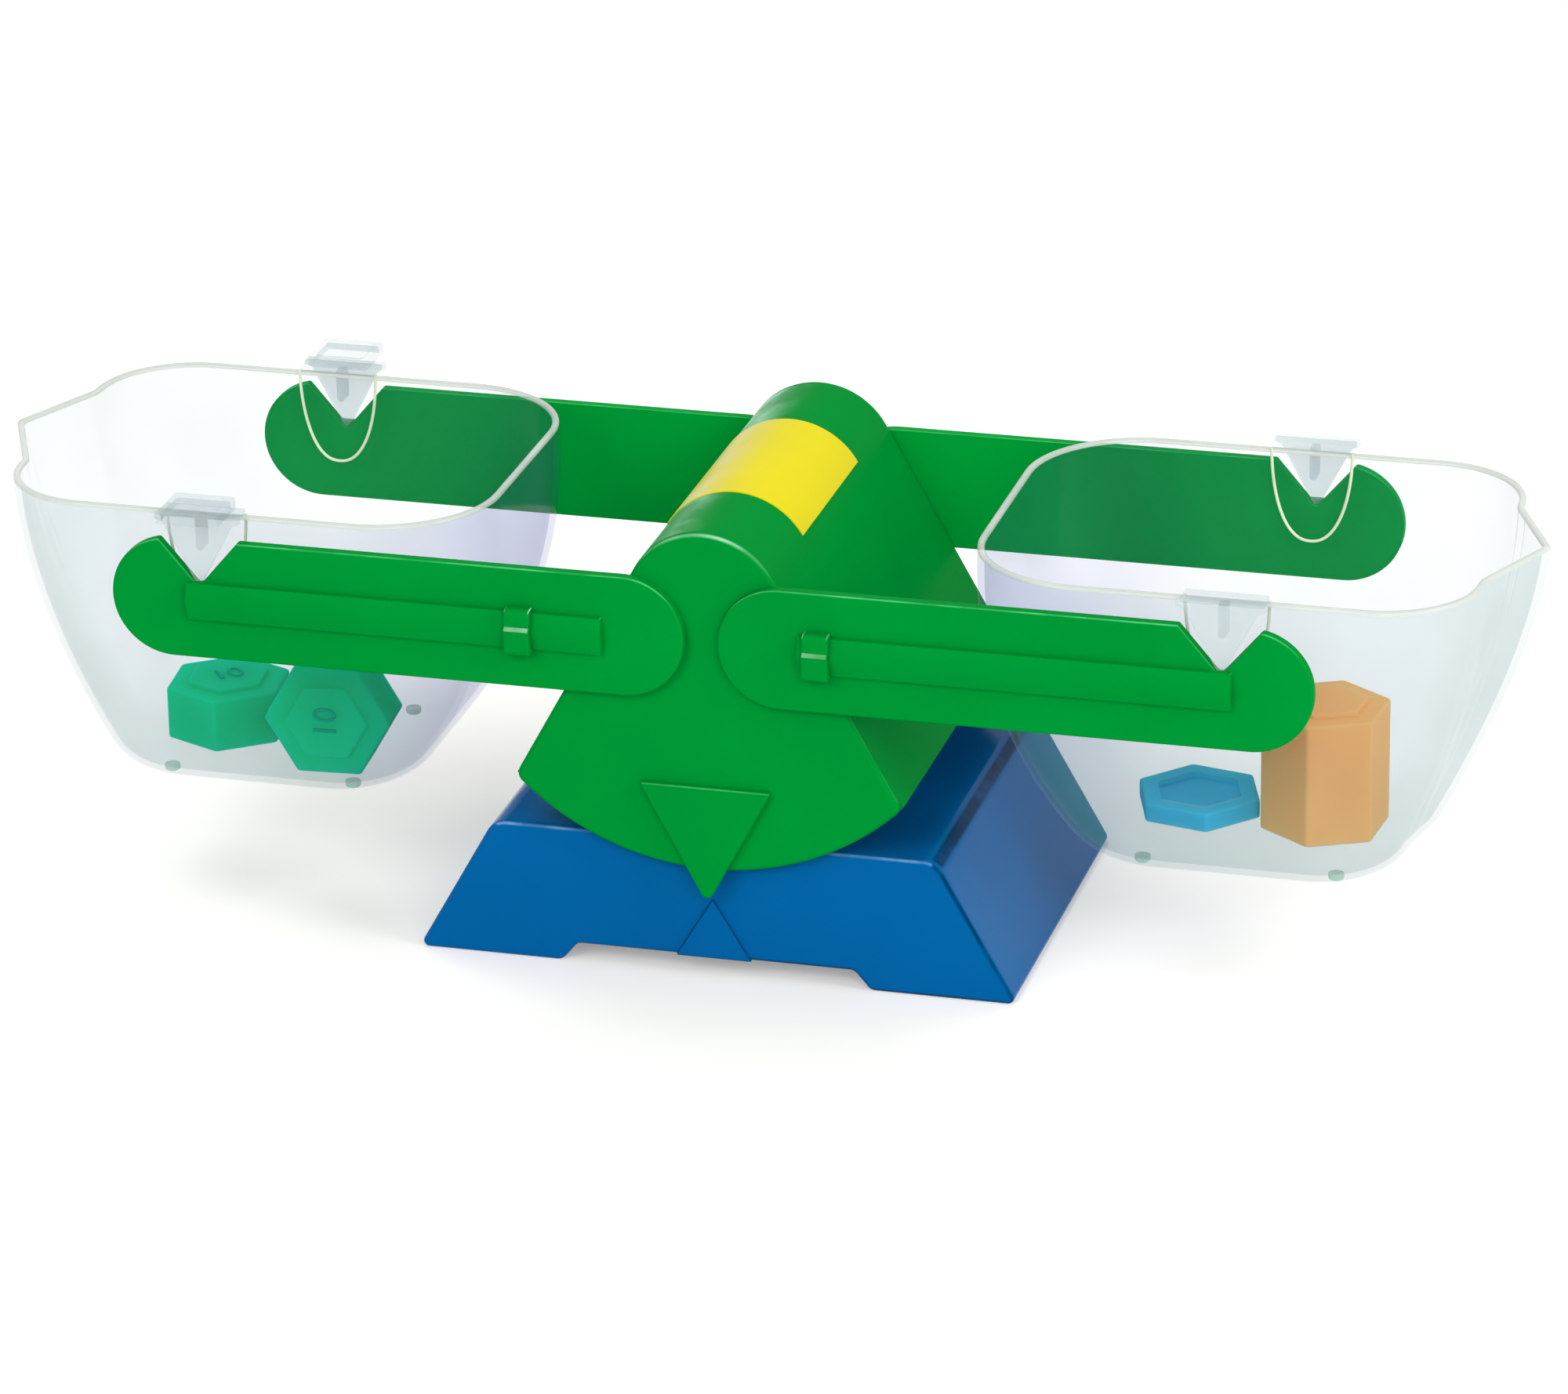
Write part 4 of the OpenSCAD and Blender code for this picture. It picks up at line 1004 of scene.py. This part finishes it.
class BALANCE_OT_sliders(bpy.types.Operator):
    """Build the two sliding trim clips on the front rails"""
    bl_idname = "balance.sliders"
    bl_label = "Sliders"

    def execute(self, context):
        s = context.scene.balance_arms
        middle = (ARM_LOW.z + ARM_HIGH.z) / 2
        arm_y = context.scene.balance_hood.half_depth + s.thick
        half, gap, neck = s.slider_height / 2, s.slider_gap, s.neck_height / 2 + s.slider_gap
        slot = [(gap, neck), (s.neck_depth - gap, neck)] + rail_section(s, gap)[::-1]
        slot += [(s.neck_depth - gap, -neck), (gap, -neck)]
        back, step, ease = s.slider_depth - s.slider_step, s.slider_step, s.slider_step / 3
        points = [(gap, -half, s.slider_round / 3), (s.slider_depth - ease, -half, s.slider_round),
                  (s.slider_depth, step, ease), (back, s.step_end, ease),
                  (back - ease, half, s.slider_round), (gap, half, s.slider_round / 3)]
        profile = rounded(points + [(u, v, 0) for u, v in slot])
        # Painted highlight streak on the sliders' step
        streak = [float(s.reflection_low < v < s.reflection_high) for _, v in profile]
        for side_name in SIDES:
            node = side_name + "_slider"
            low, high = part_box(node)
            bm = bmesh.new()
            prism(bm, profile, low.x, high.x, lambda u, v, w: Vector((w, -arm_y - u, middle + v)),
                  start_round=s.slider_end, end_round=s.slider_end, painted_light_marks=streak)
            piece(bm, node + "_clip", node, finish_for("green_gloss"), [node])
        return {"FINISHED"}


# Buckets

def bucket_ring(s, depth, wall, z):
    """One level ring of a bucket at a depth from 0 at the rim to 1 at the floor, drawn in by a wall."""
    depth = max(depth, 0)
    draw = depth ** s.wall_power
    half = s.half_width - s.taper_side * draw
    jut = s.spout + (s.floor_spout - s.spout) * depth
    root = half * (s.spout_share + (s.floor_spout_share - s.spout_share) * depth)
    lean = math.atan(jut / root)
    side = half - wall
    inner = s.taper_in * draw - s.inner_reach + wall
    reach = s.tip_reach - s.taper_tip * depth ** s.spout_power
    tip = reach - wall / math.cos(lean)
    end = reach - jut - wall
    root_y = root - wall * math.tan(lean / 2)
    root_r = s.spout_root + wall
    in_r = s.rim_corner + (s.floor_corner - s.rim_corner) * depth - wall
    out_r = side - root_y - root_r * math.tan(lean / 2)
    plan = rounded([(inner, -side, in_r), (end, -side, out_r), (end, -root_y, root_r), (tip, 0, s.tip_round),
                    (end, root_y, root_r), (end, side, out_r), (inner, side, in_r)], s.corner_steps)
    return [Vector((x, y, z)) for x, y in plan]


def bucket_wall_y(s, z):
    """Half the outside width of a bucket at a height over the hanging point."""
    return s.half_width - s.taper_side * max((s.rise - z) / s.height, 0) ** s.wall_power


def bucket_rings(s):
    """Rings from the underside, up the outside, over the rim and down to the inside of the floor."""
    low = s.rise - s.height

    def level(wall, lift):
        return bucket_ring(s, 1 - lift / s.height, wall, low + lift)

    def foot(wall, floor, r):
        turns = [math.pi / 2 * k / FOOT_STEPS for k in range(FOOT_STEPS + 1)]
        return [level(wall + r * (1 - math.sin(t)), floor + r * (1 - math.cos(t))) for t in turns]

    def wall(thick, start):
        end, steps = s.height - s.wall / 2, s.wall_steps
        run = end - s.rim_band - start
        return [level(thick, start + run * k / steps) for k in range(1, steps + 1)] + [level(thick, end)]

    lip = s.wall / 2
    turns = [math.pi * k / RIM_STEPS for k in range(1, RIM_STEPS)]
    rim = [level(lip * (1 - math.cos(t)), s.height - lip + lip * math.sin(t)) for t in turns]
    in_round = s.bottom_round - s.wall
    inside = foot(s.wall, s.floor, in_round) + wall(s.wall, s.floor + in_round)
    return foot(0, 0, s.bottom_round) + wall(0, s.bottom_round) + rim + inside[::-1]


def at_hang(side):
    """Places points about the hanging point of a side, with X towards the spout."""
    return lambda p: Vector((side * (RIGHT_HANG.x + p[0]), p[1], RIGHT_HANG.z + p[2]))


class BALANCE_OT_buckets(bpy.types.Operator):
    """Build the two clear buckets with their spouts and small feet"""
    bl_idname = "balance.buckets"
    bl_label = "Buckets"

    def execute(self, context):
        s = context.scene.balance_buckets
        rings = bucket_rings(s)
        low = s.rise - s.height
        middle = (s.tip_reach - s.taper_tip - s.floor_spout - s.inner_reach + s.taper_in) / 2
        for side_name, side in SIDES.items():
            place = at_hang(side)
            bm = bmesh.new()
            skin(bm, [[place(p) for p in ring] for ring in rings])
            for x in (-s.nub_pitch_x / 2, s.nub_pitch_x / 2):
                for y in (-s.nub_pitch_y / 2, s.nub_pitch_y / 2):
                    prism(bm, circle(s.nub, NUB_STEPS), low - s.nub_height, low - HAIR_GAP,
                          lambda u, v, w: place((middle + x + u, y + v, w)), start_round=s.nub / 3)
            node = side_name + "_bucket"
            shell = piece(bm, node + "_shell", node, finish_for("clear_plastic"), [node],
                          SOFT_CREASE)
            shell.data.materials.append(finish_for("frosted_edge"))
            shell.data.materials.append(finish_for("frosted_foot"))
            rim = RIGHT_HANG.z + s.rise - s.wall / 2 - s.rim_band
            under = RIGHT_HANG.z + low
            for face in shell.data.polygons:
                lowest = min(shell.data.vertices[v].co.z for v in face.vertices)
                if lowest > rim - HAIR_GAP:
                    face.material_index = 1
                elif lowest < under - HAIR_GAP:
                    face.material_index = 2
        return {"FINISHED"}


# Hangers and caps

def blade_outline(h, rise):
    """The pointed plate of a hanger in X and Z about the hanging point, with its ears."""
    top = rise + h.shelf
    ear = top - h.ear
    tip = -h.knife / math.sin(h.blade_angle)
    half = min(h.width / 2, (ear - tip) * math.tan(h.blade_angle))
    wide = h.width / 2 + h.ear_reach
    ear_tip = ear + h.ear_reach
    return rounded([(0, tip, h.knife), (half, ear, 0), (wide, ear_tip, h.edge_round),
                    (wide, top, h.edge_round), (-wide, top, h.edge_round),
                    (-wide, ear_tip, h.edge_round), (-half, ear, 0)])


def box_outline(x0, z0, x1, z1, r):
    """A rectangle with rounded corners."""
    return rounded([(x0, z0, r), (x1, z0, r), (x1, z1, r), (x0, z1, r)], BOX_STEPS)


def seam_line(h, rise):
    """The seam round a tongue in X and Z about the hanging point."""
    line = []
    for k in range(h.seam_steps + 1):
        t = math.pi * k / h.seam_steps
        across = math.copysign(abs(math.cos(t)) ** h.seam_power, math.cos(t))
        line.append((-h.width / 2 * across, rise - h.tongue * math.sin(t)))
    return line


class BALANCE_OT_hangers(bpy.types.Operator):
    """Build the four clear hangers that carry the buckets"""
    bl_idname = "balance.hangers"
    bl_label = "Hangers"

    def execute(self, context):
        h, b = context.scene.balance_hangers, context.scene.balance_buckets
        a = context.scene.balance_arms
        blade_y = context.scene.balance_hood.half_depth + a.thick / 2
        top = b.rise + h.shelf
        half = h.width / 2
        back = blade_y - h.blade / 2
        rib_low, rib_high = top - h.rib_height - h.rib / 2, b.rise - HAIR_GAP
        rib_round = h.rib * RIB_ROUND
        seam = seam_line(h, b.rise)
        for side_name, side in SIDES.items():
            for face_name, face in FACES.items():
                place = at_hang(side)

                def out(u, v, w):
                    return place((u, face * w, v))

                bm = bmesh.new()
                prism(bm, blade_outline(h, b.rise), back, back + h.blade, out, h.edge_round, h.edge_round)
                shelf = box_outline(-half, b.rise, half, top - h.edge_round / 4, h.edge_round)
                prism(bm, shelf, b.half_width - b.wall, back - HAIR_GAP, out, h.edge_round)
                rib = rounded([(-h.rib / 2, rib_low, rib_round), (h.rib / 2, rib_low, rib_round),
                               (h.rib / 2, rib_high, 0), (-h.rib / 2, rib_high, 0)])
                prism(bm, rib, b.half_width + RIB_GAP, back - HAIR_GAP, out)
                node = f"{side_name}_{face_name}_hanger"
                body = side_name + "_bucket"
                piece(bm, node + "_plate", body, finish_for("clear_block"), [node])
                bm = bmesh.new()
                tube(bm, [out(x, z, bucket_wall_y(b, z) - b.wall) for x, z in seam], h.seam)
                piece(bm, node + "_seam", body, finish_for("frosted_seam"), [])
        return {"FINISHED"}


class BALANCE_OT_caps(bpy.types.Operator):
    """Build the hollow caps on the left hangers"""
    bl_idname = "balance.caps"
    bl_label = "Caps"

    def execute(self, context):
        h = context.scene.balance_hangers
        for face_name in FACES:
            node = f"left_{face_name}_cap"
            low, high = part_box(node)
            middle = (low + high) / 2
            bm = bmesh.new()

            def ring(drawn_in, z, r):
                x, y = h.cap_width / 2 - drawn_in, h.cap_depth / 2 - drawn_in
                plan = box_outline(-x, -y, x, y, r)
                return [Vector((middle.x + u, middle.y + v, z)) for u, v in plan]

            def round_ring(r, z):
                axis = Vector((middle.x, middle.y, z))
                return [axis + r * (p - axis).normalized() for p in ring(0, z, h.cap_corner)]

            edge, recess, inner = h.edge_round, high.z - h.cap_recess, h.cap_inner_corner
            rings = [
                ring(h.cap_wall, high.z - h.cap_wall, inner), ring(h.cap_wall, low.z, inner),
                ring(0, low.z, h.cap_corner), ring(0, high.z - edge, h.cap_corner),
                ring(edge, high.z, inner), ring(h.cap_land, high.z, inner),
                ring(h.cap_recess_in, recess, h.cap_recess_corner),
                round_ring(h.cap_dimple_mouth, recess),
                round_ring(h.cap_dimple, recess - h.cap_dimple_depth)]
            skin(bm, rings)
            piece(bm, node + "_cover", "left_bucket", finish_for("clear_block"), [node])
        return {"FINISHED"}


# Weights

def hexagon(flats, z, r):
    """A level hexagon ring with rounded corners and its first corner along X."""
    size = flats / 2 / math.cos(math.pi / 6)
    points = [(size * math.cos(math.pi / 3 * k), size * math.sin(math.pi / 3 * k), r) for k in range(6)]
    return [Vector((x, y, z)) for x, y in rounded(points, WEIGHT_STEPS)]


def weight_rings(s, tall, hollow):
    """Rings of a weight from inside its hollow, round its outside and over its raised step."""
    e, r = s.edge_round, s.corner_round
    step_top = tall + s.step
    rings = [hexagon(s.hollow_flats - e, hollow, r), hexagon(s.hollow_flats, hollow - e / 2, r),
             hexagon(s.hollow_flats, e / 3, r), hexagon(s.hollow_flats + e / 2, 0, r)]
    turns = [math.pi / 2 * k / WEIGHT_STEPS for k in range(WEIGHT_STEPS + 1)]
    rings += [hexagon(s.flats - 2 * e * (1 - math.sin(t)), e * (1 - math.cos(t)), r) for t in turns]
    rings += [hexagon(s.flats - 2 * e * (1 - math.sin(t)), tall - e * (1 - math.cos(t)), r)
              for t in reversed(turns)]
    rings += [hexagon(s.step_flats + e, tall, r), hexagon(s.step_flats, tall + e / 2, r),
              hexagon(s.step_flats, step_top - e / 2, r), hexagon(s.step_flats - e, step_top, r)]
    return rings


def figures(name, text, height, thick, matrix, body, slot):
    """Raised plain figures, centred on a place."""
    curve = bpy.data.curves.new(name, "FONT")
    curve.body = text
    curve.size = height
    curve.extrude = thick
    curve.bevel_depth = thick / 4
    curve.align_x = "CENTER"
    curve.align_y = "CENTER"
    writing = bpy.data.objects.new(name, curve)
    bpy.context.scene.collection.objects.link(writing)
    bpy.context.view_layer.update()
    mesh = bpy.data.meshes.new_from_object(writing.evaluated_get(bpy.context.evaluated_depsgraph_get()))
    bpy.data.objects.remove(writing)
    bm = bmesh.new()
    bm.from_mesh(mesh)
    bm.transform(matrix)
    return piece(bm, name, body, finish_for(slot), [])


class BALANCE_OT_weights(bpy.types.Operator):
    """Build the four hexagonal stacking weights"""
    bl_idname = "balance.weights"
    bl_label = "Weights"

    def execute(self, context):
        s = context.scene.balance_weights
        places = {
            "upright_weight": (s.upright_turn, "teal_plastic", UPRIGHT),
            "lying_weight": (s.lying_turn, "teal_plastic", ON_SIDE),
            "thin_weight": (s.thin_turn, "sky_plastic", UPSIDE_DOWN),
            "tall_weight": (s.tall_turn, "orange_plastic", UPRIGHT)}
        for node, (turn, slot, tip) in places.items():
            low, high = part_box(node)
            mirror = Matrix.Scale(-1 if high.x < 0 else 1, 4, (1, 0, 0))
            tall = s.lying_height if tip == ON_SIDE else high.z - low.z - s.step
            hollow = s.tall_hollow if node == "tall_weight" else s.hollow
            half = (tall + s.step) / 2
            pose = (Matrix.Translation((low + high) / 2) @ mirror @ Matrix.Rotation(turn, 4, "Z")
                    @ Matrix.Rotation(tip, 4, "X") @ Matrix.Translation((0, 0, -half)))
            bm = bmesh.new()
            skin(bm, weight_rings(s, tall, hollow))
            bm.transform(pose)
            piece(bm, node + "_moulding", node, finish_for(slot), [node], SOFT_CREASE)
            if slot == "teal_plastic":
                face = (pose @ Matrix.Translation((0, 0, tall + s.step)) @ mirror
                        @ Matrix.Rotation(tip, 4, "Z"))
                figures(node + "_figure", "10", s.figure_height, s.figure_proud, face, node, slot)
        return {"FINISHED"}


# Stage

def studio_world(s):
    """Even light from all round that looks white to the eye and in reflections."""
    world = bpy.data.worlds.new("Studio")
    world.use_nodes = True
    tree = world.node_tree
    tree.nodes.clear()
    out = shader_node(tree, "ShaderNodeOutputWorld")
    light = shader_node(tree, "ShaderNodeBackground", {"Color": (1, 1, 1, 1), "Strength": s.sky_light})
    seen = shader_node(tree, "ShaderNodeBackground", {"Color": (1, 1, 1, 1), "Strength": 1.0})
    mix = shader_node(tree, "ShaderNodeMixShader")
    tree.links.new(seen_rays(tree), mix.inputs["Fac"])
    tree.links.new(light.outputs["Background"], mix.inputs[1])
    tree.links.new(seen.outputs["Background"], mix.inputs[2])
    tree.links.new(mix.outputs["Shader"], out.inputs["Surface"])
    bpy.context.scene.world = world


def seen_rays(tree):
    """One for rays from the eye, through clear pieces or off glossy ones, and zero for other rays."""
    rays = shader_node(tree, "ShaderNodeLightPath").outputs
    first = math_node(tree, "MAXIMUM", rays["Is Camera Ray"], rays["Is Transmission Ray"])
    return math_node(tree, "MAXIMUM", first, rays["Is Glossy Ray"])


def table_top(s):
    """A wide pale floor that keeps the shadow of the balance."""
    bm = bmesh.new()
    bmesh.ops.create_grid(bm, x_segments=8, y_segments=8, size=s.floor_half)
    mesh = bpy.data.meshes.new("table_top")
    bm.to_mesh(mesh)
    bm.free()
    floor = bpy.data.objects.new("table_top", mesh)
    bpy.context.scene.collection.objects.link(floor)
    finish = bpy.data.materials.new("table_top_finish")
    finish.use_nodes = True
    tree = finish.node_tree
    tree.nodes.clear()
    out = shader_node(tree, "ShaderNodeOutputMaterial")
    paint = shader_node(tree, "ShaderNodeBsdfDiffuse", {"Color": shaded(s.floor_colour)})
    lift = shader_node(tree, "ShaderNodeEmission", {"Color": (1, 1, 1, 1)})
    coord = shader_node(tree, "ShaderNodeTexCoord")
    away = shader_node(tree, "ShaderNodeVectorMath", operation="LENGTH")
    tree.links.new(coord.outputs["Object"], away.inputs[0])
    portion = shader_node(tree, "ShaderNodeMath", operation="DIVIDE")
    tree.links.new(away.outputs["Value"], portion.inputs[0])
    portion.inputs[1].default_value = s.rim_reach
    places = ((BASE_HIGH.x, s.floor_lift), (BUCKET_HIGH.x, s.bucket_lift),
              (s.fade_reach, s.far_lift), (s.rim_reach, s.rim_lift))
    stops = [(reach / s.rim_reach, level) for reach, level in places]
    fade = grey_ramp(tree, portion.outputs["Value"], stops)
    tree.links.new(math_node(tree, "MULTIPLY", seen_rays(tree), fade), lift.inputs["Strength"])
    total = shader_node(tree, "ShaderNodeAddShader")
    tree.links.new(paint.outputs["BSDF"], total.inputs[0])
    tree.links.new(lift.outputs["Emission"], total.inputs[1])
    tree.links.new(total.outputs["Shader"], out.inputs["Surface"])
    mesh.materials.append(finish)


def lamp(name, place, size, power):
    """A square soft lamp that looks at the pivot."""
    light = bpy.data.lights.new(name, "AREA")
    light.size = size
    light.energy = power
    obj = bpy.data.objects.new(name, light)
    obj.location = place
    obj.rotation_euler = (PIVOT - Vector(place)).to_track_quat("-Z", "Y").to_euler()
    bpy.context.scene.collection.objects.link(obj)


def photo_camera(s):
    """The camera at the picture's angle, set by where an aim point lies in the picture."""
    a, e = s.azimuth, s.elevation
    ahead = Vector((-math.sin(a) * math.cos(e), math.cos(a) * math.cos(e), -math.sin(e)))
    level = Vector((math.cos(a), math.sin(a), 0))
    up = level.cross(ahead)
    right = math.cos(s.roll) * level + math.sin(s.roll) * up
    top = math.cos(s.roll) * up - math.sin(s.roll) * level
    camera = bpy.data.cameras.new("Camera")
    camera.sensor_width = s.sensor
    camera.lens = s.focal
    pixels = s.focal / camera.sensor_width * s.picture[0]
    across = (s.aim_pixel[0] - s.picture[0] / 2) / pixels * s.reach
    above = -(s.aim_pixel[1] - s.picture[1] / 2) / pixels * s.reach
    place = Vector((0, 0, s.aim_height)) - ahead * s.reach - right * across - top * above
    obj = bpy.data.objects.new("Camera", camera)
    obj.matrix_world = Matrix((
        (right.x, top.x, -ahead.x, place.x), (right.y, top.y, -ahead.y, place.y),
        (right.z, top.z, -ahead.z, place.z), (0, 0, 0, 1)))
    camera.clip_end = s.clip
    bpy.context.scene.collection.objects.link(obj)
    bpy.context.scene.camera = obj


class BALANCE_OT_stage(bpy.types.Operator):
    """Set up the floor, the light and the camera"""
    bl_idname = "balance.stage"
    bl_label = "Stage"

    def execute(self, context):
        s = context.scene.balance_stage
        context.scene.view_settings.view_transform = "Standard"
        studio_world(s)
        table_top(s)
        lamp("Key", s.key_place, s.key_size, s.key_power)
        lamp("Top", s.top_place, s.lamp_size, s.top_power)
        lamp("Fill", s.fill_place, s.lamp_size, s.fill_power)
        lamp("Side", s.side_place, s.lamp_size, s.side_power)
        photo_camera(s)
        return {"FINISHED"}


class BALANCE_PT_panel(bpy.types.Panel):
    """The balance's pieces and sizes"""
    bl_idname = "BALANCE_PT_panel"
    bl_label = "Bucket balance"
    bl_space_type = "VIEW_3D"
    bl_region_type = "UI"
    bl_category = "Balance"

    def draw(self, context):
        for operator in OPERATORS:
            self.layout.operator(operator.bl_idname)
        for name, group in GROUPS.items():
            box = self.layout.box()
            box.label(text=group.__doc__)
            settings = getattr(context.scene, name)
            for field in group.__annotations__:
                box.prop(settings, field)


GROUPS = {
    "balance_base": BaseSettings, "balance_hood": HoodSettings, "balance_arms": ArmSettings,
    "balance_buckets": BucketSettings, "balance_hangers": HangerSettings, "balance_weights": WeightSettings,
    "balance_finish": FinishSettings, "balance_stage": StageSettings,
}
OPERATORS = (
    BALANCE_OT_base, BALANCE_OT_pivot, BALANCE_OT_hood, BALANCE_OT_pointer, BALANCE_OT_arms,
    BALANCE_OT_sliders, BALANCE_OT_buckets, BALANCE_OT_hangers, BALANCE_OT_caps, BALANCE_OT_weights,
    BALANCE_OT_stage,
)


def register():
    for group in GROUPS.values():
        bpy.utils.register_class(group)
    for name, group in GROUPS.items():
        setattr(bpy.types.Scene, name, PointerProperty(type=group))
    for operator in OPERATORS:
        bpy.utils.register_class(operator)
    bpy.utils.register_class(BALANCE_PT_panel)


def unregister():
    bpy.utils.unregister_class(BALANCE_PT_panel)
    for operator in reversed(OPERATORS):
        bpy.utils.unregister_class(operator)
    for name, group in reversed(GROUPS.items()):
        delattr(bpy.types.Scene, name)
        bpy.utils.unregister_class(group)


def main():
    register()
    bpy.ops.balance.base()
    bpy.ops.balance.pivot()
    bpy.ops.balance.hood()
    bpy.ops.balance.pointer()
    bpy.ops.balance.arms()
    bpy.ops.balance.sliders()
    bpy.ops.balance.buckets()
    bpy.ops.balance.hangers()
    bpy.ops.balance.caps()
    bpy.ops.balance.weights()
    bpy.ops.balance.stage()


if __name__ == "__main__":
    main()
